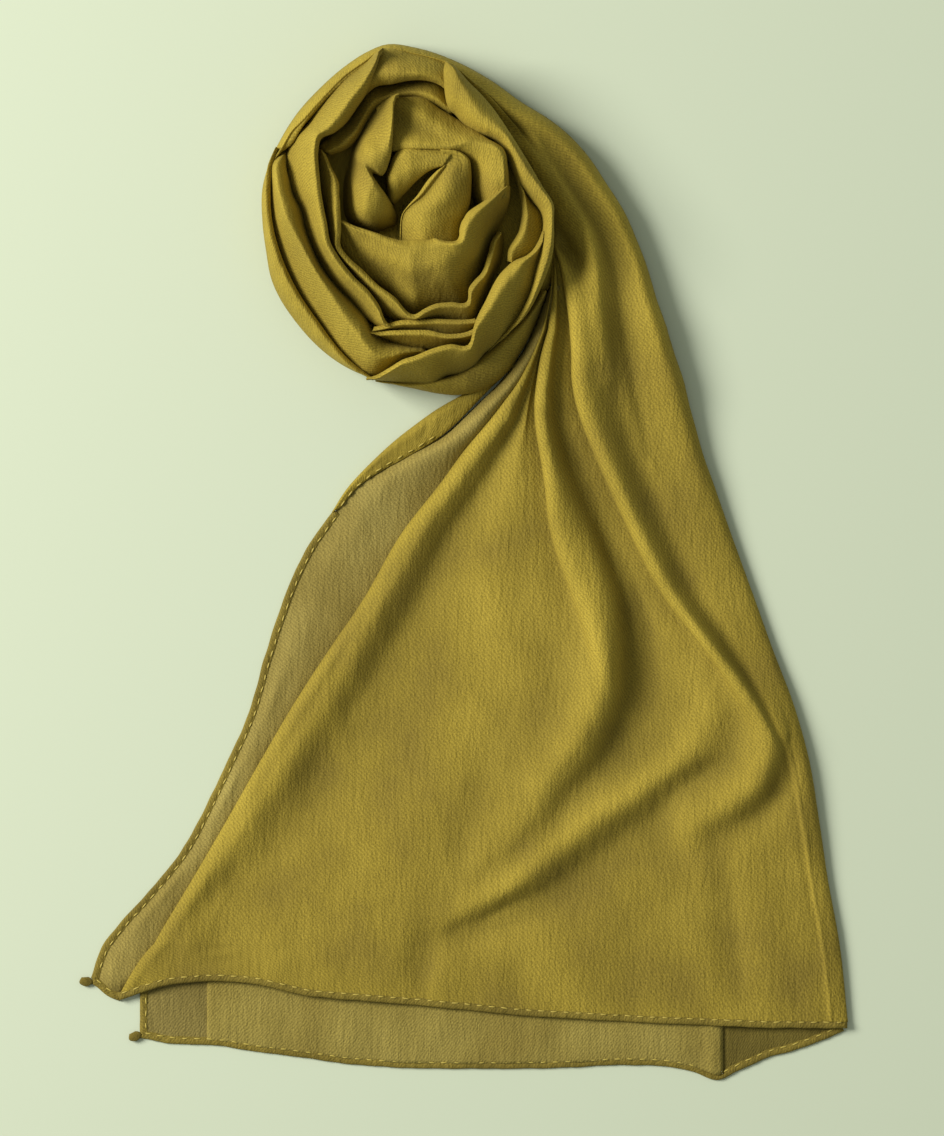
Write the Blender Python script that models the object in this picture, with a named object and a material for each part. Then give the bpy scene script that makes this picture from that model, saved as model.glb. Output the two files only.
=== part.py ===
"""A long crepe chiffon scarf laid on a table: one end is wound into a rosette, and the
tail fans out below it, folded in half lengthways, with a narrow rolled hem all round.

Metres, +Z up, the table at z = 0. X runs across the tail and +Y from the hem to the
rosette. The origin is the centre of the outline, on the table. Tables are in millimetres.
"""

import math
from collections import namedtuple

import bmesh
import bpy

MM = 0.001

# The cloth, and the clearances between neighbouring stretches of it.
WALL = 1.2            # thickness that one stretch of cloth is built with
SEAM = 0.3            # gap between pieces that lie against each other
STEP_DEG = 6          # a section of the winding every so many degrees
END_TRIM_DEG = 0.15   # half the gap between stretches that follow each other

# The winding.
CENTRE_X, CENTRE_Y = -27.0, 171.5
CORE_TOP = 14.0       # height of the hidden layers under the petals
CORE_SHOULDER = 3.0   # rounding of the hidden layers' upper edge
ON_CORE = CORE_TOP + SEAM
ON_FLOOR = 0.0

# The tail.
SEAM_Y = 116.5        # where the outer turn becomes the front of the tail
HEM_WIDTH = 4.0
HEM_THICK = 1.8
EDGE_LIFT = WALL + SEAM   # a folded edge lies on the layer below it
EDGE_ROLL = 5.0       # how far in a folded edge is rounded

Line = namedtuple("Line", "angle radius")
Height = namedtuple("Height", "angle share low top out")
Stretch = namedtuple("Stretch", "name inner outer first last foot heights")
Rail = namedtuple("Rail", "y left a b right")
Rise = namedtuple("Rise", "y edge valley_at valley plane under_a a trough_at trough under_b b dip side")
Crease = namedtuple("Crease", "x1 y1 x2 y2 width rise")
Edge = namedtuple("Edge", "x y")

# Crease lines of the winding, each seen from above: angle in degrees round the centre,
# 0 at +X and 90 at +Y, and radius. Two stretches that touch share a line.
LINES = {
    "turn_rim": ((-12, 121.5), (-5, 113.5), (2, 107.1), (10, 99.9), (19, 94.6), (28, 89.7),
                 (36, 85.3), (45, 81.0), (61, 80.2), (75, 82.2), (88, 85.5), (98, 87.9),
                 (104, 86.2), (113, 82.8), (124, 79.3), (137, 77.0), (150, 75.4), (162, 75.2)),
    "lip": ((-40, 75.5), (-28, 74.0), (-12, 74.0), (0, 72.2), (4, 72.4), (12, 67.9), (24, 64.9),
            (40, 65.0), (57, 69.6), (67, 73.5), (75, 78.5), (84, 79.9), (90, 81.2), (96, 83.4),
            (100, 84.0), (105, 80.2), (115, 76.3), (122, 72.9), (129, 70.2), (138, 68.2),
            (144, 69.5), (162, 68.0)),
    "rim": ((162, 75.2), (167, 75.1), (181, 73.5), (193, 73.5), (203, 75.2), (223, 76.7),
            (246, 80.3), (264, 82.6), (272, 84.7), (279, 88.0), (285, 90.8), (292, 92.3),
             (300, 91.5), (311, 86.0), (324, 80.0)),
    "bottom_in": ((270, 81.0), (280, 81.0), (289, 80.0), (294, 78.0), (300, 76.3), (306, 75.0),
                  (324, 75.0)),
    "crest_left": ((162, 70.5), (172, 69.5), (182, 68.2), (197, 66.4), (212, 66.3), (230, 69.0),
                   (247, 75.0), (257, 80.3), (262, 75.8), (267, 71.0), (270, 69.7), (279, 66.5),
                   (288, 66.4), (295, 69.7), (300, 63.4), (313, 55.8), (332, 53.8), (342, 58.0)),
    "second_in": ((162, 64.0), (168, 59.4), (175, 54.3), (186, 52.0), (196, 50.6), (221, 49.7),
                  (238, 50.9), (246, 53.6), (252, 60.3), (258, 61.5), (264, 62.4), (272, 63.9)),
    "a_out": ((100, 84.0), (105, 80.2), (115, 76.3), (122, 72.9), (129, 70.2), (138, 68.2),
              (144, 69.5), (156, 67.5), (162, 64.0), (168, 59.4), (175, 54.3), (186, 52.0),
              (196, 50.6), (221, 49.7), (238, 50.9), (246, 53.6), (258, 55.2)),
    "a_in": ((102, 76.6), (108, 66.4), (116, 60.0), (123, 56.6), (132, 56.1), (139, 58.3),
             (143, 56.3), (154, 49.6), (167, 44.5), (183, 41.1), (199, 41.0), (228, 40.4),
             (244, 42.7), (252, 46.0), (259, 50.0), (264, 51.6), (273, 51.8), (286, 52.2),
             (295, 55.0), (302, 58.5), (306, 56.4), (315, 52.5), (325, 49.0), (336, 47.5),
             (345, 46.0)),
    "b_in": ((143, 52.0), (147, 46.6), (150, 43.0), (164, 36.2), (177, 34.8), (191, 35.0),
             (202, 37.2), (215, 36.4), (246, 37.4), (260, 41.0), (273, 48.3), (279, 46.4),
             (287, 45.4), (296, 47.1), (304, 50.0), (309, 46.8), (322, 44.5), (336, 42.8),
             (345, 42.0)),
    "c_top": ((252, 59.7), (261, 57.0), (273, 56.6), (279, 57.0), (289, 61.0), (300, 63.0)),
    "c_bottom": ((252, 60.3), (258, 61.5), (264, 62.4), (272, 63.9), (288, 66.0), (295, 68.5)),
    "d_out": ((258, 83.0), (264, 82.3), (270, 81.0), (280, 81.0), (289, 80.0), (294, 78.0),
              (300, 76.0), (306, 74.1), (319, 72.5), (328, 70.5), (338, 67.5), (342, 67.0)),
    "e_in": ((-41, 72.5), (-32, 70.5), (-22, 67.5), (-18, 67.0), (-7, 66.2), (2, 65.2), (8, 61.0),
             (16, 57.5), (31, 57.0), (39, 57.6), (51, 55.5), (65, 56.5), (73, 61.5), (78, 66.0),
             (84, 68.0)),
    "f_in": ((-18, 53.0), (-6, 54.8), (4, 55.8), (13, 55.9)),
    "top_in": ((78, 70.0), (84, 68.2), (90, 67.7), (98, 66.6), (108, 66.4), (116, 60.0),
               (123, 56.6), (132, 56.1), (139, 58.3)),
    "top_out": ((78, 79.0), (84, 79.9), (90, 81.2), (96, 83.4), (102, 76.6)),
    "g_in": ((84, 63.0), (90, 62.5), (98, 60.6), (108, 58.5), (112, 56.4), (124, 48.5),
             (135, 48.5), (141, 53.0)),
    "petal_left_out": ((96, 60.2), (104, 57.6), (112, 52.7), (123, 47.1), (137, 40.2), (149, 37.1),
                       (163, 33.7), (175, 31.7), (181, 30.0), (194, 22.5), (204, 17.5)),
    "petal_left_in": ((96, 56.2), (99, 50.0), (102, 42.0), (105, 34.0), (112, 29.0), (120, 26.0),
                      (128, 25.0), (135, 18.5), (140, 14.0), (150, 10.0), (180, 7.5), (204, 9.0)),
    "petal_top_out": ((18, 51.2), (27, 53.7), (35, 56.0), (45, 53.9), (56, 53.2), (68, 54.0),
                      (75, 55.5), (82, 58.7), (96, 59.4)),
    "petal_top_in": ((18, 36.5), (35, 38.4), (46, 43.5), (52, 41.0), (67, 36.4), (86, 34.0),
                     (96, 34.0)),
    "petal_low_in": ((186, 30.0), (194, 24.2), (206, 19.0), (220, 15.0), (249, 12.5), (283, 11.6),
                     (310, 14.0), (324, 17.8), (336, 26.3), (342, 26.0), (358, 26.8), (368, 31.0),
                     (373, 39.0)),
    "petal_low_out": ((186, 34.2), (202, 36.2), (214, 35.4), (233, 34.5), (255, 36.7), (265, 43.0),
                      (273, 47.6), (279, 45.6), (293, 45.2), (303, 48.3), (316, 44.5), (336, 41.7),
                      (345, 41.4), (358, 45.1), (373, 49.5)),
    "wrap_out": ((6, 28.0), (18, 31.5), (33, 35.7), (44, 39.5), (50, 39.5), (66, 35.5), (85, 33.0),
                 (97, 33.0), (104, 31.5), (109, 27.5), (117, 24.3), (127, 17.0), (132, 14.5)),
    "wrap_in": ((6, 24.5), (18, 27.8), (33, 31.0), (44, 34.0), (56, 30.5), (65, 23.5), (77, 13.5),
                (106, 8.5), (132, 8.0)),
}

# Stretches of the winding. share is how far out the crest lies, low the height where the
# inner side starts to round over, top the crest, and out the height of the outer edge.
STRETCHES = (
    Stretch("outer_left", "crest_left", "rim", 162, 252, ON_FLOOR,
            ((162, .30, 18, 26, 0), (210, .12, 20, 28, 0), (252, .15, 18, 25, 0))),
    Stretch("outer_bottom", "bottom_in", "rim", 270, 324, ON_FLOOR,
            ((270, .30, 14, 20, 0), (300, .30, 15, 22, 0), (324, .40, 16, 22, 0))),
    Stretch("second_left", "second_in", "crest_left", 162, 270, ON_CORE,
            ((162, .55, 24, 34, 22), (177, .55, 20, 35, 18), (192, .33, 18, 36, 18),
             (215, .22, 20, 36, 18), (240, .40, 18, 36, 18), (258, .50, 18, 34, 16),
             (270, .50, 20, 30, 22))),
    Stretch("band_a", "a_in", "a_out", 102, 258, ON_CORE,
            ((102, .70, 34, 42, 28), (120, .65, 32, 43, 26), (140, .60, 34, 43, 26),
             (160, .40, 32, 42, 22), (180, .35, 28, 41, 20), (215, .40, 26, 40, 20),
             (258, .30, 28, 36, 26))),
    Stretch("band_a_low", "a_in", "c_top", 264, 300, ON_CORE,
            ((264, .30, 28, 34, 28), (300, .30, 28, 34, 28))),
    Stretch("band_b", "b_in", "a_in", 144, 342, ON_CORE,
            ((144, .30, 30, 38, 30), (230, .30, 32, 38, 28), (270, .35, 31, 36, 31),
             (300, .35, 30, 36, 28), (342, .45, 24, 30, 24))),
    Stretch("band_c", "c_top", "c_bottom", 258, 294, ON_CORE,
            ((258, .35, 26, 33, 28), (294, .30, 26, 34, 28))),
    Stretch("band_d", "crest_left", "d_out", 258, 342, ON_CORE,
            ((258, .35, 33, 38, 15), (264, .20, 36, 41, 15), (276, .15, 36, 42, 17),
             (300, .20, 36, 42, 18), (320, .25, 34, 42, 20), (342, .40, 30, 38, 24))),
    Stretch("band_e", "e_in", "lip", -36, 78, ON_CORE,
            ((-36, .45, 32, 38, 26), (0, .50, 32, 42, 24), (30, .50, 32, 43, 22),
             (60, .50, 32, 43, 22), (78, .50, 34, 42, 30))),
    Stretch("band_f", "f_in", "e_in", -18, 12, ON_CORE,
            ((-18, .40, 26, 36, 26), (12, .50, 24, 34, 26))),
    Stretch("band_top", "top_in", "top_out", 78, 102, ON_CORE,
            ((78, .80, 30, 40, 34), (90, .75, 31, 41, 34), (102, .75, 26, 38, 30))),
    Stretch("band_g", "g_in", "top_in", 90, 138, ON_CORE,
            ((90, .60, 20, 28, 24), (138, .60, 20, 28, 24))),
    Stretch("sliver", "petal_top_out", "e_in", 72, 84, ON_CORE,
            ((72, .60, 22, 32, 26), (84, .60, 22, 32, 26))),
    Stretch("petal_left", "petal_left_in", "petal_left_out", 96, 198, ON_CORE,
            ((96, .50, 36, 46, 36), (120, .45, 30, 46, 24), (150, .50, 24, 45, 22),
             (180, .60, 20, 42, 20), (198, .60, 20, 38, 20))),
    Stretch("petal_top", "petal_top_in", "petal_top_out", 18, 96, ON_CORE,
            ((18, .55, 26, 44, 28), (45, .50, 30, 45, 30), (70, .40, 36, 46, 30),
             (96, .50, 30, 46, 34))),
    Stretch("petal_low", "petal_low_in", "petal_low_out", 186, 372, ON_CORE,
            ((186, .40, 36, 40, 26), (220, .20, 38, 43, 22), (270, .20, 40, 44, 24),
             (320, .25, 40, 44, 22), (345, .30, 38, 45, 22), (372, .30, 38, 45, 26))),
    Stretch("bud_wrap", "wrap_in", "wrap_out", 6, 132, ON_CORE,
            ((6, .55, 28, 38, 30), (45, .60, 30, 44, 34), (90, .75, 22, 42, 34),
             (132, .65, 20, 36, 26))),
)

# The outer turn, from the rosette's left side over its top to where the tail begins.
TURN = Stretch("outer_turn", "lip", "turn_rim", -12, 162, ON_FLOOR,
               ((-12, .30, 20, 27, 0), (30, .45, 18, 28, 0), (60, .45, 20, 30, 0),
                (78, .35, 24, 31, 0), (100, .35, 26, 32, 0), (130, .15, 26, 33, 0),
                (162, .15, 24, 30, 0)))

# Where the outer turn runs down into the front of the tail: both ends of each section.
Down = namedtuple("Down", "left y_left right y_right share")
TURN_DOWN = (
    Down(48.8, 147.0, 93.6, 141.0, .25),
    Down(51.6, 132.0, 97.3, 129.0, .16),
    Down(52.9, 116.6, 101.4, 116.6, .08),
)
# The pleats gathered at the rosette's right corner, above the first section of the front.
GATHERS = (
    Down(38.6, 116.6, 52.2, 116.6, .50),
    Down(41.0, 124.0, 51.4, 124.0, .50),
    Down(42.6, 132.0, 50.4, 132.0, .50),
    Down(44.0, 140.0, 48.6, 140.0, .50),
)

# The bud: x and y of both sides of each section from the winding's centre, then the heights.
Bud = namedtuple("Bud", "x_left y_left x_right y_right share top")
BUD = (
    Bud(15.6, 24.2, 20.0, 22.0, .45, 45.0),
    Bud(9.7, 19.6, 23.6, 17.5, .50, 46.0),
    Bud(3.4, 11.5, 24.8, 11.5, .55, 44.0),
    Bud(-0.6, 5.2, 24.6, 5.0, .55, 42.0),
    Bud(-3.4, -2.0, 23.6, -2.0, .55, 40.0),
    Bud(-4.2, -9.8, 21.8, -9.8, .55, 37.0),
)
BUD_LOW = 20.0

# The front of the tail, folded at both sides: across each section, the left fold, the two
# pleats that the rosette gathers, and the right fold.
RAILS = (
    Rail(116.5, 38.5, 42.0, 52.5, 101.5),
    Rail(104.0, 33.5, 38.5, 53.0, 105.5),
    Rail(91.5, 28.3, 36.5, 53.8, 109.5),
    Rail(79.0, 18.0, 35.5, 56.5, 112.5),
    Rail(66.5, 7.8, 36.2, 60.0, 116.0),
    Rail(54.0, -1.5, 38.0, 65.0, 120.0),
    Rail(41.5, -10.5, 40.0, 70.5, 124.5),
    Rail(16.5, -30.0, 43.0, 82.0, 132.8),
    Rail(-18.5, -51.0, 54.5, 100.5, 145.5),
    Rail(-43.5, -67.5, 63.0, 120.0, 154.5),
    Rail(-68.5, -83.5, 67.0, 137.0, 164.0),
    Rail(-98.5, -103.0, 50.5, 152.0, 172.0),
    Rail(-128.5, -122.0, 29.5, 157.0, 178.0),
    Rail(-158.5, -140.0, 18.0, 162.0, 183.0),
    Rail(-188.5, -155.8, 13.0, 167.0, 187.5),
    Rail(-232.0, -172.0, 8.0, 172.0, 192.0),
)
# Heights over the table along the same sections, from the left fold to the right one.
RISES = (
    Rise(116.5, 20, .40, 17, 16, 14, 22, .50, 16, 15, 26, .40, 18),
    Rise(91.5, 17, .40, 12, 12, 10, 20, .50, 13, 12, 24, .38, 16),
    Rise(66.5, 14, .32, 8, 10, 8, 18, .50, 11, 10, 21, .36, 12),
    Rise(41.5, 12, .26, 6.5, 9, 7.5, 17, .50, 9, 8, 19, .34, 10),
    Rise(16.5, 11, .22, 5.5, 9, 8, 15, .55, 8, 7, 17, .34, 8),
    Rise(-18.5, 10, .20, 5, 9, 9, 14, .60, 7, 7, 15, .34, 7),
    Rise(-43.5, 9.5, .20, 4.6, 9, 11, 14, .50, 6, 7.5, 14, .36, 7),
    Rise(-68.5, 9, .21, 4.5, 9, 13, 13.5, .30, 5.5, 9, 12.5, .40, 7),
    Rise(-98.5, 8.5, .23, 4.5, 9, 12, 12, .35, 6, 9, 10, .45, 7.5),
    Rise(-128.5, 8, .20, 4.5, 8, 10, 10, .40, 6, 7.5, 8, .50, 7),
    Rise(-158.5, 7, .14, 4.5, 7, 7, 7, .50, 5.5, 6.5, 6.5, .50, 6),
    Rise(-188.5, 6, .12, 4.6, 6, 5.5, 5.5, .50, 5, 5.5, 5.5, .50, 5.5),
    Rise(-232.0, 4.2, .12, 4.2, 4.6, 4.2, 4.2, .50, 4.4, 4.6, 4.6, .50, 4.6),
)
# Creases that cross the lower right of the front, where the cloth has slid together.
CREASES = (
    Crease(84, -130, -2, -191, 8.0, -4.0),
    Crease(75, -84, 50, -120, 8.0, -3.0),
    Crease(127, -99, 100, -145, 7.0, -3.5),
    Crease(130, -78, 62, -134, 9.0, 3.0),
    Crease(159, -112, 128, -136, 8.0, -3.0),
    Crease(133, -150, 133, -210, 7.0, -2.5),
)
# Lower edge of the front, on its hem, from the left fold to the right one.
FRONT_EDGE = (
    Edge(-172.0, -218.5), Edge(-162, -215.0), Edge(-154, -212.4), Edge(-145, -210.3),
    Edge(-125, -208.8), Edge(-106, -210.0), Edge(-97, -212.0), Edge(-78, -216.5),
    Edge(-52, -218.7), Edge(-20, -221.3), Edge(29, -226.2), Edge(90, -229.7),
    Edge(152, -232.3), Edge(192.0, -232.5),
)

# The flap, the single layer that shows left of the front: where it leaves the rosette, the
# strip that is turned back over it, its hemmed side and its short lower end.
FLAP_TOP = (Edge(30.0, 105.0), Edge(23.5, 95.0), Edge(17.5, 86.5), Edge(8.5, 79.0))
TURNBACK_OUTER = (Edge(8.0, 84.0), Edge(-12.0, 76.5), Edge(-22.0, 70.5), Edge(-38.5, 57.5),
                  Edge(-56.5, 39.5), Edge(-65.5, 26.5))
TURNBACK_INNER = (Edge(3.0, 75.5), Edge(-14.8, 61.8), Edge(-26.0, 55.6), Edge(-41.5, 47.2),
                  Edge(-53.5, 39.2), Edge(-62.0, 28.0))
TURNBACK_HIGH, TURNBACK_LOW = 6.0, 3.2
FLAP_SIDE = (
    Edge(-70.0, 21.0), Edge(-77.0, 10.0), Edge(-83.5, -2.0), Edge(-93.0, -26.0),
    Edge(-100.0, -48.0), Edge(-107.5, -74.5), Edge(-119.0, -100.5), Edge(-130.5, -124.5),
    Edge(-142.0, -145.0), Edge(-151.0, -156.5), Edge(-161.0, -168.0), Edge(-172.5, -180.5),
    Edge(-181.0, -192.0), Edge(-186.3, -207.0),
)
FLAP_END = (Edge(-184.3, -211.2), Edge(-178.0, -216.5), Edge(-174.2, -218.3))
FLAP_HIDDEN_END = Edge(-164.0, -210.0)
FLAP_TUCK = 3.0       # how far the flap runs in under the front's left fold
FLAP_ROLL = 9.0       # height of the flap's roll where the rosette gathers it
FLAP_FLAT_Y = 15.0    # below this the flap lies flat

# The back of the tail: its left side and lower edge, with the corner that its fold makes.
BACK_LEFT_X = -162.0
BACK_EDGE = (
    Edge(-162, -237.5), Edge(-148, -240.0), Edge(-121, -241.5), Edge(-106, -244.0),
    Edge(-87, -246.4), Edge(-52, -251.0), Edge(-32, -252.5), Edge(45, -252.5), Edge(87, -251.0),
    Edge(103, -252.0), Edge(115, -254.5), Edge(127, -258.5), Edge(136, -254.5),
    Edge(151.5, -247.5), Edge(167, -243.0), Edge(178, -239.5), Edge(186.0, -237.0),
)
BACK_SIDE = (Edge(-162, -211.0), Edge(-162, -222.0), Edge(-162, -232.9))
KNOT_LENGTH, KNOT_WIDTH, KNOT_HEIGHT = 6.0, 4.6, 3.0

OLIVE = (0.36, 0.27, 0.045, 1.0)
OLIVE_HEM = (0.30, 0.23, 0.05, 1.0)
CLOTH_ROUGHNESS = 0.85


def clear_scene():
    for obj in list(bpy.data.objects):
        bpy.data.objects.remove(obj, do_unlink=True)


def make_material(name, color):
    material = bpy.data.materials.new(name)
    material.use_nodes = True
    shader = material.node_tree.nodes["Principled BSDF"]
    shader.inputs["Base Color"].default_value = color
    shader.inputs["Roughness"].default_value = CLOTH_ROUGHNESS
    shader.inputs["Metallic"].default_value = 0.0
    return material


def between(rows, column, key, at):
    """The value of a table's column at a place between two of its rows."""
    rows = sorted(rows, key=lambda row: getattr(row, key))
    if at <= getattr(rows[0], key):
        return getattr(rows[0], column)
    for low, high in zip(rows, rows[1:]):
        a, b = getattr(low, key), getattr(high, key)
        if at <= b:
            share = (at - a) / (b - a)
            return getattr(low, column) * (1 - share) + getattr(high, column) * share
    return getattr(rows[-1], column)


def radius_at(name, angle):
    rows = [Line(*row) for row in LINES[name]]
    first = rows[0].angle
    return between(rows, "radius", "angle", first + (angle - first) % 360)


def loft(name, rings, material, collection, wall=True):
    """A closed body through rings of equally many points, with a cap at each end. The ring
    of a wall runs along one face and back along the other, and its caps join the two."""
    mesh = bmesh.new()
    loops = [[mesh.verts.new([v * MM for v in point]) for point in ring] for ring in rings]
    count = len(loops[0])
    for low, high in zip(loops, loops[1:]):
        for k in range(count):
            mesh.faces.new((low[k], low[(k + 1) % count], high[(k + 1) % count], high[k]))
    for loop in (loops[0][::-1], loops[-1]):
        if wall:
            for k in range(count // 2 - 1):
                mesh.faces.new((loop[k], loop[k + 1], loop[-k - 2], loop[-k - 1]))
        else:
            mesh.faces.new(loop)
    bmesh.ops.triangulate(mesh, faces=mesh.faces[:])
    if mesh.calc_volume(signed=True) < 0:
        bmesh.ops.reverse_faces(mesh, faces=mesh.faces[:])
    data = bpy.data.meshes.new(name)
    mesh.to_mesh(data)
    mesh.free()
    data.shade_smooth()
    data.set_sharp_from_angle(angle=math.radians(50))
    data.materials.append(material)
    obj = bpy.data.objects.new(name, data)
    collection.objects.link(obj)
    return obj


def arch(share, low, top, out, foot, width, thick=0.0):
    """One face of a bent wall across its section: (distance from the inner side, height)."""
    crest = share * width
    inner, outer = crest - thick, width - crest - thick
    points = [(thick, foot)]
    for q in (1.0, 0.6):
        points.append((crest - inner * q, low + (top - thick - low) * math.sqrt(1 - q * q)))
    points.append((crest, top - thick))
    for q in (0.6, 1.0):
        points.append((crest + outer * q, out + (top - thick - out) * math.sqrt(1 - q * q)))
    return points


def arch_ring(start, end, heights, foot):
    """The closed section of a bent wall over the line from start to end."""
    width = math.dist(start, end)
    share = heights.share
    crest = min(max(share * width, WALL + 0.3), width - WALL - 0.3)
    share = crest / width
    face = arch(share, heights.low, heights.top, heights.out, foot, width)
    back = arch(share, heights.low, heights.top, heights.out, foot, width, WALL)
    along = [(end[k] - start[k]) / width for k in (0, 1)]
    return [
        (start[0] + along[0] * d, start[1] + along[1] * d, z)
        for d, z in face + back[::-1]
    ]


def polar(angle, radius):
    a = math.radians(angle)
    return CENTRE_X + radius * math.cos(a), CENTRE_Y + radius * math.sin(a)


def heights_at(rows, angle):
    rows = [Height(*row) for row in rows]
    return Height(angle, *(between(rows, c, "angle", angle) for c in Height._fields[1:]))


def wound_rings(stretch):
    """The sections of a stretch of the winding, each on a line from the centre."""
    rings = []
    for angle in range(stretch.first, stretch.last + 1, STEP_DEG):
        trimmed = min(max(angle, stretch.first + END_TRIM_DEG), stretch.last - END_TRIM_DEG)
        inner = polar(trimmed, radius_at(stretch.inner, angle) + SEAM / 2)
        outer = polar(trimmed, radius_at(stretch.outer, angle) - SEAM / 2)
        rings.append(arch_ring(inner, outer, heights_at(stretch.heights, angle), stretch.foot))
    return rings


def core_rings():
    """The hidden layers under the rosette: flat below, rounded at the upper edge."""
    def radius(angle):
        if 168 <= angle <= 258:
            return radius_at("crest_left", angle)
        if 258 < angle <= 324:
            return min(radius_at("d_out", angle), radius_at("bottom_in", angle))
        return radius_at("lip", angle)

    angles = range(0, 360, STEP_DEG)
    levels = ((0.0, 1.0), (CORE_TOP - CORE_SHOULDER, 1.0), (CORE_TOP - 0.8, 2.0), (CORE_TOP, 4.0))
    return [
        [(*polar(a, radius(a) - inset), z) for a in angles]
        for z, inset in levels
    ]


def bud_rings():
    rings = []
    for row in BUD:
        start = (CENTRE_X + row.x_left, CENTRE_Y + row.y_left)
        end = (CENTRE_X + row.x_right, CENTRE_Y + row.y_right)
        heights = Height(0, row.share, BUD_LOW, row.top, BUD_LOW)
        rings.append(arch_ring(start, end, heights, ON_CORE))
    return rings


def ease(t):
    t = min(max(t, 0.0), 1.0)
    return t * t * (3 - 2 * t)


def crease_rise(x, y):
    """What the creases add to the height of the front at a point."""
    total = 0.0
    for c in CREASES:
        dx, dy = c.x2 - c.x1, c.y2 - c.y1
        t = ((x - c.x1) * dx + (y - c.y1) * dy) / (dx * dx + dy * dy)
        t = min(max(t, 0.0), 1.0)
        away = math.hypot(x - c.x1 - t * dx, y - c.y1 - t * dy)
        total += c.rise * math.exp(-(away / c.width) ** 2)
    return total


def front_line(y):
    """Points (x, z) across the front at one section, from the left fold to the right."""
    rail = Rail(y, *(between(RAILS, c, "y", y) for c in Rail._fields[1:]))
    rise = Rise(y, *(between(RISES, c, "y", y) for c in Rise._fields[1:]))
    roll = min(EDGE_ROLL, 0.4 * (rail.a - rail.left))
    points = [
        (rail.left, EDGE_LIFT + WALL),
        (rail.left + 0.25 * roll, EDGE_LIFT + 0.75 * (rise.edge - EDGE_LIFT)),
        (rail.left + roll, rise.edge),
    ]

    def run(x0, x1, z0, z1, steps):
        for k in range(1, steps + 1):
            t = k / steps
            points.append((x0 + (x1 - x0) * t, z0 + (z1 - z0) * ease(t)))

    valley = rail.left + roll + rise.valley_at * (rail.a - rail.left - roll)
    run(rail.left + roll, valley, rise.edge, rise.valley, 3)
    step_a = min(1.6, 0.12 * (rail.a - rail.left))
    plane = 0.5 * (valley + rail.a)
    run(valley, plane, rise.valley, rise.plane, 2)
    run(plane, rail.a - step_a, rise.plane, rise.under_a, 2)
    points.append((rail.a + step_a, rise.a))
    trough = rail.a + rise.trough_at * (rail.b - rail.a)
    run(rail.a + step_a, trough, rise.a, rise.trough, 3)
    run(trough, rail.b - 1.4, rise.trough, rise.under_b, 2)
    points.append((rail.b + 1.4, rise.b))
    dip = rail.b + rise.dip * (rail.right - rail.b)
    edge = rail.right - EDGE_ROLL
    run(rail.b + 1.4, dip, rise.b, rise.side, 3)
    run(dip, edge, rise.side, rise.side + 1.0, 2)
    points.append((rail.right - 0.25 * EDGE_ROLL, EDGE_LIFT + 0.75 * (rise.side - EDGE_LIFT)))
    points.append((rail.right, EDGE_LIFT + WALL))
    return points


def offset_below(line, thick):
    """The under face of a wall whose upper face crosses the section along this line."""
    below = []
    for k, (x, z) in enumerate(line):
        x0, z0 = line[max(k - 1, 0)]
        x1, z1 = line[min(k + 1, len(line) - 1)]
        length = math.hypot(x1 - x0, z1 - z0)
        nx, nz = (z1 - z0) / length, -(x1 - x0) / length
        below.append((x + nx * thick, z + nz * thick))
    below[0] = (line[0][0] + thick, line[0][1] - 0.4 * thick)
    below[-1] = (line[-1][0] - thick, line[-1][1] - 0.4 * thick)
    return below


def edge_y(edges, x):
    return between(edges, "y", "x", x)


def lift_creases(line, y):
    return [(x, max(z + crease_rise(x, y), EDGE_LIFT + WALL)) for x, z in line]


FRONT_SECTIONS = (116.3, 104, 91.5, 79, 66.5, 54, 41.5, 29, 16.5, -1, -18.5, -31, -43.5, -56,
                  -68.5, -83, -98.5, -113, -128.5, -143, -158.5, -175, -190)


def front_rings():
    """Sections of the front of the tail, level ones first and then down to its hem."""
    rings = []
    for y in FRONT_SECTIONS:
        line = lift_creases(front_line(y), y)
        rings.append([(x, y, z) for x, z in line + offset_below(line, WALL)[::-1]])
    last = FRONT_SECTIONS[-1]
    for share in (0.5, 1.0):
        level = last + share * (RAILS[-1].y - last)
        line = lift_creases(front_line(level), level)
        ring = line + offset_below(line, WALL)[::-1]
        rings.append([
            (x, last + share * (edge_y(FRONT_EDGE, x) + HEM_WIDTH + SEAM - last), z)
            for x, z in ring
        ])
    return rings


def turn_rings():
    """The outer turn: round the winding first, then level sections down to the tail."""
    rings = wound_rings(TURN)
    for row in TURN_DOWN:
        heights = Height(0, row.share, 20, 26.5, 0)
        rings.insert(0, arch_ring((row.left, row.y_left), (row.right, row.y_right), heights, 12.0))
    return rings


def gather_rings():
    return [
        arch_ring((row.left, row.y_left), (row.right, row.y_right),
                  Height(0, row.share, 14, 22, 14), ON_FLOOR)
        for row in GATHERS
    ]


def flap_points(left, right, y):
    """Points (x, z) across the flap: a roll where it is gathered, then flat on the table."""
    lift = FLAP_ROLL * ease((y - FLAP_FLAT_Y) / 70.0)
    points = []
    for share in (0.0, 0.18, 0.4, 0.65, 0.88, 1.0):
        roll = math.sin(math.pi * share / 0.88) if share < 0.88 else 0.0
        points.append((left + (right - FLAP_TUCK - left) * share / 0.88, WALL + lift * roll))
    points[-1] = (right, WALL)
    return points


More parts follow.
